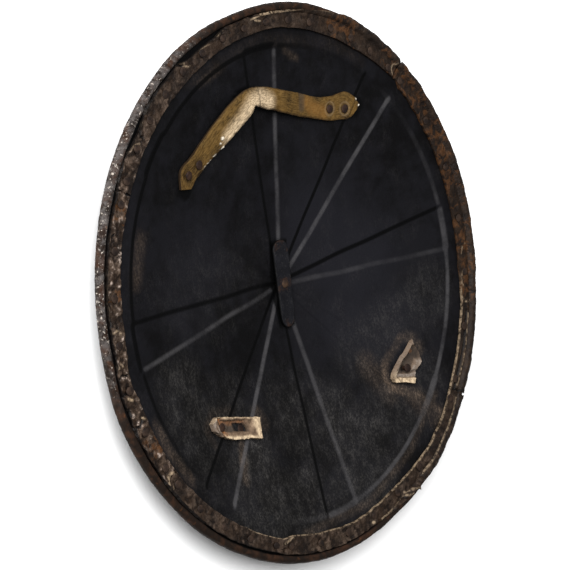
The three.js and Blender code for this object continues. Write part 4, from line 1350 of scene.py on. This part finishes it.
def make_leather_group():
    """Height of old leather: pebbled grain crossed by cracks, and a mask of the cracks."""
    wiring, given, put_out = new_group(
        "old_leather_grain", {"Grain": 420.0, "Cracks": 70.0, "Crack Depth": 0.6}, ("Height", "Cracks"))
    place = wiring.object_place()
    warp = wiring.noise(place, scale=60.0, detail=3.0, roughness=0.6)
    aside = wiring.add("ShaderNodeCombineXYZ", {"X": warp, "Y": warp, "Z": warp}).outputs[0]
    aside = wiring.add("ShaderNodeVectorMath", {0: aside, "Scale": CRACK_WARP}, operation="SCALE").outputs[0]
    bent = wiring.add("ShaderNodeVectorMath", {0: place, 1: aside}, operation="ADD")
    cells = wiring.add("ShaderNodeTexVoronoi", {"Vector": bent.outputs[0], "Scale": given["Cracks"]},
                       feature="DISTANCE_TO_EDGE").outputs["Distance"]
    crack = wiring.inverse(wiring.ramp(cells, low=0.0, high=0.09))
    some = wiring.ramp(wiring.noise(place, scale=40.0, detail=3.0), low=0.56, high=0.68)
    crack = wiring.times(crack, some)
    grain = wiring.noise(place, given["Grain"], detail=4.0, roughness=0.6)
    height = wiring.math("SUBTRACT", grain, wiring.times(crack, given["Crack Depth"]))
    wiring.feed(put_out, "Height", height)
    wiring.feed(put_out, "Cracks", crack)
    return wiring.tree


GROUPS = {
    "bloom": make_bloom_group(),
    "pitting": make_pitting_group(),
    "leather": make_leather_group(),
}


def use_group(wiring, key, **inputs):
    node = wiring.add("ShaderNodeGroup", node_tree=GROUPS[key])
    for socket, value in inputs.items():
        wiring.feed(node, socket.replace("_", " "), value)
    return node.outputs


def new_material(name, **shader):
    material = bpy.data.materials.new(name)
    material.use_nodes = True
    wiring = Wiring(material.node_tree)
    principled = material.node_tree.nodes["Principled BSDF"]
    for socket, value in shader.items():
        principled.inputs[socket.replace("_", " ")].default_value = value
    return material, wiring, principled


def add_bump(wiring, principled, height, distance, strength=1.0):
    bump = wiring.add("ShaderNodeBump", {"Height": height, "Distance": distance, "Strength": strength})
    wiring.feed(principled, "Normal", bump.outputs[0])


# Colours of the iron
BLACK_IRON = (0.0018, 0.0017, 0.0019, 1)
BLUE_IRON = (0.0048, 0.0047, 0.0059, 1)
PALE_IRON = (0.0078, 0.0077, 0.0100, 1)
BAR_BLACK = (0.0032, 0.0032, 0.0042, 1)
BAR_BLUE = (0.0068, 0.0069, 0.0087, 1)
GREY_DUST = (0.078, 0.073, 0.068, 1)
WALL_HIGHLIGHT = (0.050, 0.048, 0.050, 1)
BROWN_SOIL = (0.115, 0.082, 0.058, 1)
PITCH_BLACK = (0.0008, 0.0008, 0.0009, 1)
ROLL_BROWN = (0.009, 0.006, 0.0045, 1)
ROLL_HIGHLIGHT = (0.062, 0.055, 0.052, 1)
DARK_RUST = (0.034, 0.016, 0.009, 1)
BRIGHT_RUST = (0.105, 0.042, 0.017, 1)
ROLL_GLINT = (0.42, 0.37, 0.32, 1)


def make_iron_material():
    """Blackened plate: bluish black fields, a scarred roll, and dust in the lower half, with painted
    highlight and shade on the walls of the steps, a painted highlight on the roll's lit side, and painted
    shade under the bar and the strap and beside the roll.
    """
    material, wiring, principled = new_material("blackened_iron_plate", Specular_IOR_Level=0.05)
    place = wiring.object_place()
    cloud = wiring.noise(place, scale=8.0, detail=4.0, roughness=0.6)
    streak = wiring.noise(wiring.object_place(stretch=(1, 0.35, 1)), scale=170.0, detail=6.0, roughness=0.75)
    grain = wiring.noise(wiring.object_place(stretch=(1, 0.7, 1)), scale=520.0, detail=3.0, roughness=0.8)
    blotch = wiring.ramp(wiring.noise(place, scale=75.0, detail=5.0, roughness=0.7), low=0.34, high=0.66)
    mottle = wiring.spread(wiring.noise(place, scale=45.0, detail=5.0, roughness=0.65), times=0.5,
                           plus=wiring.times(cloud, 0.5))
    colour = wiring.mix(wiring.ramp(mottle, low=0.38, high=0.62), BLACK_IRON, BLUE_IRON)
    colour = wiring.layer(colour, wiring.attribute("pale"), PALE_IRON, strength=0.8)
    speckle = wiring.ramp(wiring.spread(grain, times=0.6, plus=wiring.times(streak, 0.45)), low=0.48,
                          high=0.64)
    faint = use_group(wiring, "bloom", Scale=30.0, Cover=0.5, Softness=0.5, Shift=2.0)["Mask"]
    colour = wiring.layer(colour, wiring.times(speckle, faint), GREY_DUST, strength=0.16)
    dust = wiring.attribute("dust")
    cloudy = wiring.ramp(wiring.noise(place, scale=22.0, detail=5.0, roughness=0.65), low=0.25, high=0.75)
    patchy = wiring.times(cloudy, wiring.spread(blotch, times=0.7, plus=0.3))
    dusting = wiring.times(dust, wiring.spread(patchy, times=1.0, plus=0.15))
    colour = wiring.layer(colour, wiring.times(dusting, wiring.spread(speckle, times=0.8, plus=0.2)),
                          GREY_DUST, strength=0.95)
    soil = wiring.times(wiring.attribute("soil"), wiring.spread(cloudy, times=0.6, plus=0.4))
    soiled = wiring.times(soil, wiring.spread(speckle, times=0.75, plus=0.25))
    colour = wiring.layer(colour, soiled, BROWN_SOIL, strength=0.9)
    # painted highlight on the walls that face the light, mottled; painted shade on those that face away
    along_wall = wiring.ramp(wiring.noise(place, scale=30.0, detail=5.0, roughness=0.65), low=0.32,
                             high=0.66)
    wall = wiring.times(wiring.ramp(wiring.attribute("lit_wall"), low=0.04, high=0.6),
                        wiring.spread(along_wall, times=0.7, plus=wiring.times(grain, 0.5)))
    colour = wiring.layer(colour, wall, WALL_HIGHLIGHT, strength=0.6)
    colour = wiring.layer(colour, wiring.ramp(wiring.attribute("shaded_wall"), low=0.05, high=0.35),
                          PITCH_BLACK, strength=0.9)

    roll = wiring.attribute("on_roll")
    scarred = wiring.attribute("scarred")
    # painted highlight on the roll's lit side, broken up by noise, with painted glints
    highlight_mottle = wiring.ramp(wiring.noise(place, scale=110.0, detail=6.0, roughness=0.75), low=0.40, high=0.60)
    roll_lit_share = wiring.times(wiring.attribute("roll_lit"), highlight_mottle)
    rolled = wiring.mix(roll_lit_share, ROLL_BROWN, ROLL_HIGHLIGHT)
    rust = use_group(wiring, "bloom", Scale=85.0, Cover=0.55, Softness=0.16, Shift=8.0)["Mask"]
    rolled = wiring.layer(rolled, rust, DARK_RUST, strength=0.6)
    orange = use_group(wiring, "bloom", Scale=160.0, Cover=0.3, Softness=0.1, Shift=4.0)["Mask"]
    rolled = wiring.layer(rolled, orange, BRIGHT_RUST, strength=0.4)
    rolled = wiring.layer(rolled, wiring.ramp(scarred, low=0.62, high=0.85), ROLL_BROWN, strength=0.8)
    glint_fleck = wiring.ramp(wiring.noise(place, scale=360.0, detail=4.0, roughness=0.65), low=0.58, high=0.68)
    rolled = wiring.layer(rolled, wiring.times(glint_fleck, wiring.attribute("roll_lit")), ROLL_GLINT,
                          strength=0.75)
    colour = wiring.mix(roll, colour, rolled)
    # painted shade under the bar and the strap, and in the gap beside the roll
    black = wiring.most(wiring.attribute("under_shade"), wiring.attribute("roll_gap_shade"))
    colour = wiring.layer(colour, black, PITCH_BLACK, strength=0.95)
    wiring.feed(principled, "Base Color", colour)
    rough = wiring.spread(cloud, times=0.15, plus=0.5)
    wiring.feed(principled, "Roughness", wiring.spread(dust, times=0.2, plus=rough))
    height = use_group(wiring, "pitting", Dents=70.0, Pits=560.0, Pit_Depth=0.4)["Height"]
    add_bump(wiring, principled, height, distance=0.5 * MM, strength=0.6)
    return material


def make_bar_material():
    """Bluish forged iron with rust at its ends and round its rivet, and painted black shade on its sides."""
    material, wiring, principled = new_material("forged_bar_iron", Specular_IOR_Level=0.08)
    place = wiring.object_place()
    cloud = wiring.noise(place, scale=60.0, detail=4.0, roughness=0.6)
    colour = wiring.mix(wiring.ramp(cloud, low=0.3, high=0.8), BAR_BLACK, BAR_BLUE)
    grain = wiring.ramp(wiring.noise(place, scale=700.0, detail=3.0, roughness=0.6), low=0.58, high=0.7)
    colour = wiring.layer(colour, grain, GREY_DUST, strength=0.2)
    from_middle = wiring.math("ABSOLUTE",
                              wiring.add("ShaderNodeSeparateXYZ", {"Vector": place}).outputs["Y"])
    ends = wiring.ramp(from_middle, low=0.026, high=0.046)
    middle = wiring.inverse(wiring.ramp(from_middle, low=0.004, high=0.012))
    rusty = wiring.spread(wiring.most(ends, middle), times=0.45, plus=0.18)
    rust = use_group(wiring, "bloom", Scale=120.0, Cover=rusty, Softness=0.2, Shift=1.0)["Mask"]
    colour = wiring.layer(colour, rust, DARK_RUST, strength=0.6)
    # painted shade on the bar's sides
    colour = wiring.layer(colour, wiring.attribute("side_shade"), PITCH_BLACK, strength=0.9)
    wiring.feed(principled, "Base Color", colour)
    wiring.feed(principled, "Roughness", wiring.spread(cloud, times=0.3, plus=0.4))
    height = use_group(wiring, "pitting", Dents=180.0, Pits=700.0, Pit_Depth=0.4)["Height"]
    add_bump(wiring, principled, height, distance=0.4 * MM, strength=0.6)
    return material


def make_rivet_material(name, dark, rusty, cover):
    material, wiring, principled = new_material(name, Specular_IOR_Level=0.12)
    place = wiring.object_place()
    cloud = wiring.noise(place, scale=130.0, detail=3.0, roughness=0.6)
    colour = wiring.mix(wiring.ramp(cloud, low=0.35, high=0.7), dark, rusty)
    rust = use_group(wiring, "bloom", Scale=230.0, Cover=cover, Softness=0.2, Shift=5.0)["Mask"]
    colour = wiring.layer(colour, rust, BRIGHT_RUST, strength=0.5)
    wiring.feed(principled, "Base Color", colour)
    wiring.feed(principled, "Roughness", wiring.spread(cloud, times=0.3, plus=0.5))
    height = use_group(wiring, "pitting", Dents=350.0, Pits=900.0, Pit_Depth=0.5)["Height"]
    add_bump(wiring, principled, height, distance=0.35 * MM, strength=0.7)
    return material


# Colours of the rivets: dark, rusty, and how much bright rust they carry
LINING_RIVET_IRON = ((0.008, 0.005, 0.004, 1), (0.030, 0.018, 0.012, 1), 0.25)
STRAP_RIVET_IRON = ((0.009, 0.005, 0.004, 1), (0.026, 0.013, 0.008, 1), 0.2)
CENTRE_RIVET_IRON = ((0.010, 0.006, 0.005, 1), (0.040, 0.022, 0.012, 1), 0.3)

# Colours of the lining
LINING_BLACK = (0.0050, 0.0030, 0.0022, 1)
LINING_BROWN = (0.015, 0.0083, 0.0046, 1)
LINING_GREY = (0.115, 0.080, 0.058, 1)
LINING_ORANGE = (0.062, 0.026, 0.009, 1)
RIDGE_GLINT = (0.42, 0.34, 0.29, 1)
RAW_EDGE = (0.27, 0.20, 0.13, 1)
LEATHER_CRACK = (0.003, 0.0022, 0.002, 1)


def make_lining_material():
    """Nearly black brown leather, dusty and stained, paler where its edges are worn through, with painted
    glints and paler ridges on the lit side, painted shade in hollows, a painted highlight on the lit inner
    cut and painted shade beside the roll.
    """
    material, wiring, principled = new_material("dark_lining_leather", Specular_IOR_Level=0.12)
    place = wiring.object_place()
    cloud = wiring.noise(place, scale=55.0, detail=6.0, roughness=0.7)
    fine = wiring.noise(place, scale=260.0, detail=4.0, roughness=0.65)
    colour = wiring.mix(wiring.ramp(cloud, low=0.36, high=0.64), LINING_BLACK, LINING_BROWN)
    # grey dust on the ridges, most on the side towards the light: partly dust, partly painted highlight
    dust_and_sheen = wiring.attribute("dust_and_sheen")
    patches = wiring.ramp(wiring.noise(wiring.object_place(shift=(0.3, 0.1, 0)), scale=80.0, detail=6.0,
                                       roughness=0.72), low=0.36, high=0.66)
    dust = wiring.times(wiring.times(patches, dust_and_sheen),
                        wiring.spread(wiring.ramp(fine, low=0.3, high=0.7), times=0.7, plus=0.3))
    ridge = wiring.attribute("ridge")
    dust = wiring.times(dust, wiring.ramp(ridge, low=0.25, high=0.7))
    colour = wiring.layer(colour, dust, LINING_GREY, strength=0.95)
    # painted glints on the highest ridges on the lit side
    glint = wiring.times(wiring.ramp(ridge, low=0.62, high=0.92), wiring.ramp(fine, low=0.42, high=0.66))
    colour = wiring.layer(colour, wiring.times(glint, wiring.ramp(dust_and_sheen, low=0.6, high=1.0)), RIDGE_GLINT,
                          strength=0.8)
    # painted shade in the hollows
    hollow_shade = wiring.inverse(wiring.ramp(ridge, low=0.08, high=0.38))
    colour = wiring.layer(colour, hollow_shade, LINING_BLACK, strength=0.8)
    some = wiring.spread(wiring.attribute("stained"), times=0.42, plus=0.12)
    stain = use_group(wiring, "bloom", Scale=95.0, Cover=some, Softness=0.12, Shift=6.0)["Mask"]
    colour = wiring.layer(colour, stain, LINING_ORANGE, strength=0.7)
    grain = use_group(wiring, "leather", Grain=330.0, Cracks=60.0, Crack_Depth=0.35)
    colour = wiring.layer(colour, grain["Cracks"], LEATHER_CRACK, strength=0.4)
    broken = wiring.ramp(fine, low=0.35, high=0.6)
    # pale torn lips, and the painted highlight on the lit inner cut
    cut = wiring.times(wiring.attribute("lit_cut"), 0.7)
    lips = wiring.most(wiring.times(wiring.attribute("lip"), 0.9), cut)
    colour = wiring.layer(colour, wiring.times(lips, broken), RAW_EDGE, strength=0.95)
    # black cracks through the leather, and painted shade on its edge beside the roll
    black = wiring.most(wiring.ramp(wiring.attribute("cracked"), low=0.2, high=0.7),
                        wiring.attribute("roll_gap_shade"))
    colour = wiring.layer(colour, black, LEATHER_CRACK, strength=0.95)
    wiring.feed(principled, "Base Color", colour)
    matt = wiring.spread(cloud, times=0.3, plus=0.45)
    wiring.feed(principled, "Roughness", wiring.math("SUBTRACT", matt, wiring.times(dust_and_sheen, 0.18)))
    height = wiring.spread(cloud, times=1.8, plus=grain["Height"])
    add_bump(wiring, principled, height, distance=1.2 * MM, strength=1.0)
    return material


STRAP_FIBRES = (55.0, 16.0)     # across and along the strap, how many of its fibres show

# Colours of the straps
BUFF_DEEP = (0.018, 0.010, 0.003, 1)
BUFF_GOLD = (0.070, 0.038, 0.009, 1)
BUFF_AMBER = (0.135, 0.064, 0.015, 1)
BUFF_CREAM = (0.52, 0.40, 0.26, 1)
BUFF_STAIN = (0.030, 0.024, 0.019, 1)
BUFF_DARK_AND_SHADE = (0.012, 0.007, 0.004, 1)
BUFF_FIBRE = (0.150, 0.090, 0.028, 1)
WHITE_FLAKE = (0.68, 0.62, 0.52, 1)
STUB_DARK = (0.050, 0.031, 0.019, 1)
STUB_BROWN = (0.16, 0.108, 0.070, 1)
STUB_SUNK = (0.034, 0.026, 0.021, 1)
STUB_GREY = (0.19, 0.158, 0.132, 1)
STUB_ORANGE = (0.25, 0.100, 0.032, 1)
STUB_CREAM = (0.47, 0.36, 0.235, 1)
STUB_DARK_AND_SHADE = (0.006, 0.0045, 0.0035, 1)
STUB_SIDE_SHADE = (0.085, 0.056, 0.036, 1)


def add_buff_finish(wiring, principled, colour, cloud):
    """Pores, darkened sides and the grain of buff leather."""
    place = wiring.object_place()
    pores = wiring.ramp(wiring.noise(place, scale=900.0, detail=3.0, roughness=0.6), low=0.58, high=0.72)
    colour = wiring.layer(colour, pores, BUFF_DARK_AND_SHADE, strength=0.35)
    wiring.feed(principled, "Base Color", colour)
    wiring.feed(principled, "Roughness", wiring.spread(cloud, times=0.2, plus=0.6))
    grain = use_group(wiring, "leather", Grain=520.0, Cracks=160.0, Crack_Depth=0.3)["Height"]
    add_bump(wiring, principled, grain, distance=0.6 * MM, strength=0.8)


def make_arm_strap_material():
    """Buff leather, golden where it is sound, cream where it is rubbed and painted with a highlight at the
    bend, darker along its edges, with painted shade on its sides.
    """
    material, wiring, principled = new_material("buff_strap_leather", Specular_IOR_Level=0.08)
    place = wiring.object_place()
    cloud = wiring.noise(place, scale=48.0, detail=5.0, roughness=0.62)
    on_strap = wiring.add("ShaderNodeCombineXYZ",
                          {"X": wiring.times(wiring.attribute("strap_length"), STRAP_FIBRES[0]),
                           "Y": wiring.times(wiring.attribute("strap_width"), STRAP_FIBRES[1])}).outputs[0]
    fibres = wiring.ramp(wiring.noise(on_strap, scale=1.0, detail=5.0, roughness=0.7), low=0.40, high=0.60)
    colour = wiring.mix(wiring.ramp(cloud, low=0.34, high=0.66), BUFF_DEEP, BUFF_GOLD)
    colour = wiring.layer(colour, wiring.attribute("amber"), BUFF_AMBER, strength=0.75)
    colour = wiring.layer(colour, fibres, BUFF_FIBRE, strength=0.4)
    # cream where rubbed at the bend: partly wear, partly painted highlight
    rubbed_and_lit = wiring.times(wiring.attribute("rubbed_and_lit"), wiring.spread(fibres, times=0.55, plus=0.45))
    colour = wiring.layer(colour, wiring.times(rubbed_and_lit, wiring.ramp(cloud, low=0.15, high=0.5)), BUFF_CREAM,
                          strength=0.95)
    colour = wiring.layer(colour, wiring.attribute("collar"), BUFF_CREAM, strength=0.1)
    colour = wiring.layer(colour, wiring.attribute("stain"), BUFF_STAIN, strength=0.6)
    spots = use_group(wiring, "bloom", Scale=85.0, Cover=0.36, Softness=0.2, Shift=4.0)["Mask"]
    colour = wiring.layer(colour, spots, BUFF_DEEP, strength=0.6)
    colour = wiring.layer(colour, wiring.attribute("pressed"), BUFF_DARK_AND_SHADE, strength=0.45)
    colour = wiring.layer(colour, wiring.attribute("edge"), BUFF_DARK_AND_SHADE, strength=0.35)
    # painted shade on the strap's sides
    colour = wiring.layer(colour, wiring.attribute("side_shade"), BUFF_DARK_AND_SHADE, strength=0.9)
    colour = wiring.layer(colour, wiring.attribute("flake"), WHITE_FLAKE, strength=0.8)
    add_buff_finish(wiring, principled, colour, cloud)
    return material


def make_stub_material():
    """Torn thick leather: cream raw edges, a rusty band, grey rubbed folds, painted shade in its creases,
    folds, pits and round the hole, a darker upper hollow on the right stub, and painted shade on its sides.
    """
    material, wiring, principled = new_material("torn_stub_leather", Specular_IOR_Level=0.12)
    place = wiring.object_place()
    cloud = wiring.noise(place, scale=90.0, detail=5.0, roughness=0.65)
    colour = wiring.mix(wiring.ramp(cloud, low=0.3, high=0.7), STUB_DARK, STUB_BROWN)
    colour = wiring.layer(colour, wiring.attribute("sunk"), STUB_SUNK, strength=0.9)
    uneven = wiring.spread(wiring.ramp(wiring.noise(place, scale=240.0, detail=4.0, roughness=0.6),
                                       low=0.38, high=0.6), times=0.6, plus=0.4)
    colour = wiring.layer(colour, wiring.times(wiring.attribute("grey"), uneven), STUB_GREY, strength=0.85)
    colour = wiring.layer(colour, wiring.times(wiring.attribute("rust"), uneven), STUB_ORANGE, strength=0.9)
    colour = wiring.layer(colour, wiring.times(wiring.attribute("cream"), uneven), STUB_CREAM, strength=0.95)
    spots = use_group(wiring, "bloom", Scale=150.0, Cover=0.3, Softness=0.14, Shift=9.0)["Mask"]
    colour = wiring.layer(colour, spots, BUFF_DARK_AND_SHADE, strength=0.6)
    # painted shade in creases, folds and pits, and darker leather in the right stub's upper hollow
    colour = wiring.layer(colour, wiring.attribute("dark"), STUB_DARK_AND_SHADE, strength=0.95)
    # painted shade on the stub's sides
    colour = wiring.layer(colour, wiring.attribute("side_shade"), STUB_SIDE_SHADE, strength=0.6)
    add_buff_finish(wiring, principled, colour, cloud)
    return material


# Dressing the frame

def finish_piece(piece, material, slot, *nodes):
    piece.data.materials.clear()
    piece.data.materials.append(material)
    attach(piece, "root")
    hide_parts(*nodes)


def surface_tilt(x, y):
    """Direction square to the dish at a place."""
    radius = math.hypot(x, y)
    if radius > CIRCLE_RADIUS:
        return Vector((0, 0, 1))
    reach = 4 * MM
    levels = dish_level(np.array([radius - reach, radius + reach]))
    slope = float(levels[1] - levels[0]) / (2 * reach)
    return Vector((-slope * x / radius, -slope * y / radius, 1)).normalized()


def node_centre(node):
    low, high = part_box(node)
    return (low.x + high.x) / 2, (low.y + high.y) / 2


def dress_lining():
    leather = make_lining_material()
    iron = make_rivet_material("browned_lining_rivets", *LINING_RIVET_IRON)
    model = make_rivet("rivet_model", LINING_RIVET, LINING_THICKNESS + 2 * SEAT_GAP)
    nodes = sorted(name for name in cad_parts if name.startswith("lining_rivet_"))
    centres = [node_centre(node) for node in nodes]
    for key in LINING_STRIPS:
        finish_piece(make_strip(key, centres), leather, "lining_leather", f"lining_strip_{key}")
    for number, node in enumerate(nodes):
        rivet = stand_rivet(model, node, 100 + number, Vector((0, 0, 1)), LINING_RIVET_SINK)
        move_corners(rivet, out_of_round(corners_of(rivet)))
        finish_piece(rivet, iron, "rusted_iron", node)
    bpy.data.objects.remove(model)


def dress_straps():
    nodes = sorted(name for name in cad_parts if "strap" in name and "_rivet_" in name)
    arm = make_arm_strap([node_centre(node) for node in nodes if node.startswith("arm")])
    torn = make_stub_material()
    finish_piece(arm, make_arm_strap_material(), "strap_leather", "arm_strap")
    finish_piece(make_left_stub(), torn, "strap_leather", "left_strap_stub")
    finish_piece(make_right_stub(), torn, "strap_leather", "right_strap_stub")
    iron = make_rivet_material("browned_strap_rivets", *STRAP_RIVET_IRON)
    for number, node in enumerate(nodes):
        low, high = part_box(node)
        x, y = node_centre(node)
        seat = high.z - low.z - STRAP_RIVET["rise"] - STRAP_RIVET["outer_rise"] - SHEET - SEAT_GAP - 0.8 * MM
        model = make_rivet("rivet_model", STRAP_RIVET, seat)
        rivet = stand_rivet(model, node, 200 + number, surface_tilt(x, y), STRAP_RIVET_SINK)
        finish_piece(rivet, iron, "rusted_iron", node)
        bpy.data.objects.remove(model)


def dress_iron():
    finish_piece(make_plate(), make_iron_material(), "blackened_iron", "shield_plate")
    finish_piece(make_bar(), make_bar_material(), "bar_iron", "centre_bar")
    rusty = make_rivet_material("rusty_centre_rivet", *CENTRE_RIVET_IRON)
    finish_piece(make_centre_rivet(), rusty, "rusted_iron", "centre_rivet")


# Stage

CAMERA_PLACE = Vector((-1.63146, 0.40933, 1.48847 + BORDER_LEVEL))
CAMERA_AIM = Vector((-0.02581, 0.00485, BORDER_LEVEL))
CAMERA_ROLL = 89.196
CAMERA_LENS = 140.22
CAMERA_SENSOR = 36
CAMERA_FAR = 50
FLOOR_SIZE = 16
FLOOR_PALE = (0.93, 0.93, 0.93, 1)
STUDIO_STRENGTH = 0.3
# Lights: azimuth, elevation, distance, size and power
LIGHTS = {
    "key": (140, 40, 3.0, 1.8, 200),
    "fill": (100, 75, 3.0, 2.5, 35),
}


def add_floor():
    deselect_all()
    bpy.ops.mesh.primitive_plane_add(size=FLOOR_SIZE)
    floor = named(bpy.context.object, "floor")
    material, _, _ = new_material("pale_floor", Base_Color=FLOOR_PALE, Roughness=0.9,
                                  Specular_IOR_Level=0.1)
    floor.data.materials.append(material)


def add_area_light(name, azimuth, elevation, distance, size, power):
    turn, rise = math.radians(azimuth), math.radians(elevation)
    towards = Vector((math.cos(rise) * math.cos(turn), math.cos(rise) * math.sin(turn), math.sin(rise)))
    light = bpy.data.lights.new(name, "AREA")
    light.shape = "SQUARE"
    light.size = size
    light.energy = power
    lamp = bpy.data.objects.new(name, light)
    lamp.location = towards * distance
    lamp.rotation_euler = towards.to_track_quat("Z", "Y").to_euler()
    bpy.context.scene.collection.objects.link(lamp)


def add_world():
    world = bpy.data.worlds.new("studio")
    world.use_nodes = True
    background = world.node_tree.nodes["Background"]
    background.inputs["Color"].default_value = (1, 1, 1, 1)
    background.inputs["Strength"].default_value = STUDIO_STRENGTH
    bpy.context.scene.world = world


def add_camera():
    camera = bpy.data.cameras.new("camera")
    camera.lens = CAMERA_LENS
    camera.sensor_width = CAMERA_SENSOR
    camera.clip_end = CAMERA_FAR
    holder = bpy.data.objects.new("camera", camera)
    back = (CAMERA_PLACE - CAMERA_AIM).normalized()
    level_right = Vector((0, 0, 1)).cross(back).normalized()
    level_up = back.cross(level_right)
    roll = math.radians(CAMERA_ROLL)
    right = level_right * math.cos(roll) + level_up * math.sin(roll)
    up = back.cross(right)
    holder.matrix_world = Matrix((
        (right.x, up.x, back.x, CAMERA_PLACE.x),
        (right.y, up.y, back.y, CAMERA_PLACE.y),
        (right.z, up.z, back.z, CAMERA_PLACE.z),
        (0, 0, 0, 1),
    ))
    bpy.context.scene.collection.objects.link(holder)
    bpy.context.scene.camera = holder


bpy.context.scene.view_settings.view_transform = "Standard"
add_camera()
add_floor()
add_world()
for light_name, settings in LIGHTS.items():
    add_area_light(light_name, *settings)
dress_iron()
dress_lining()
dress_straps()
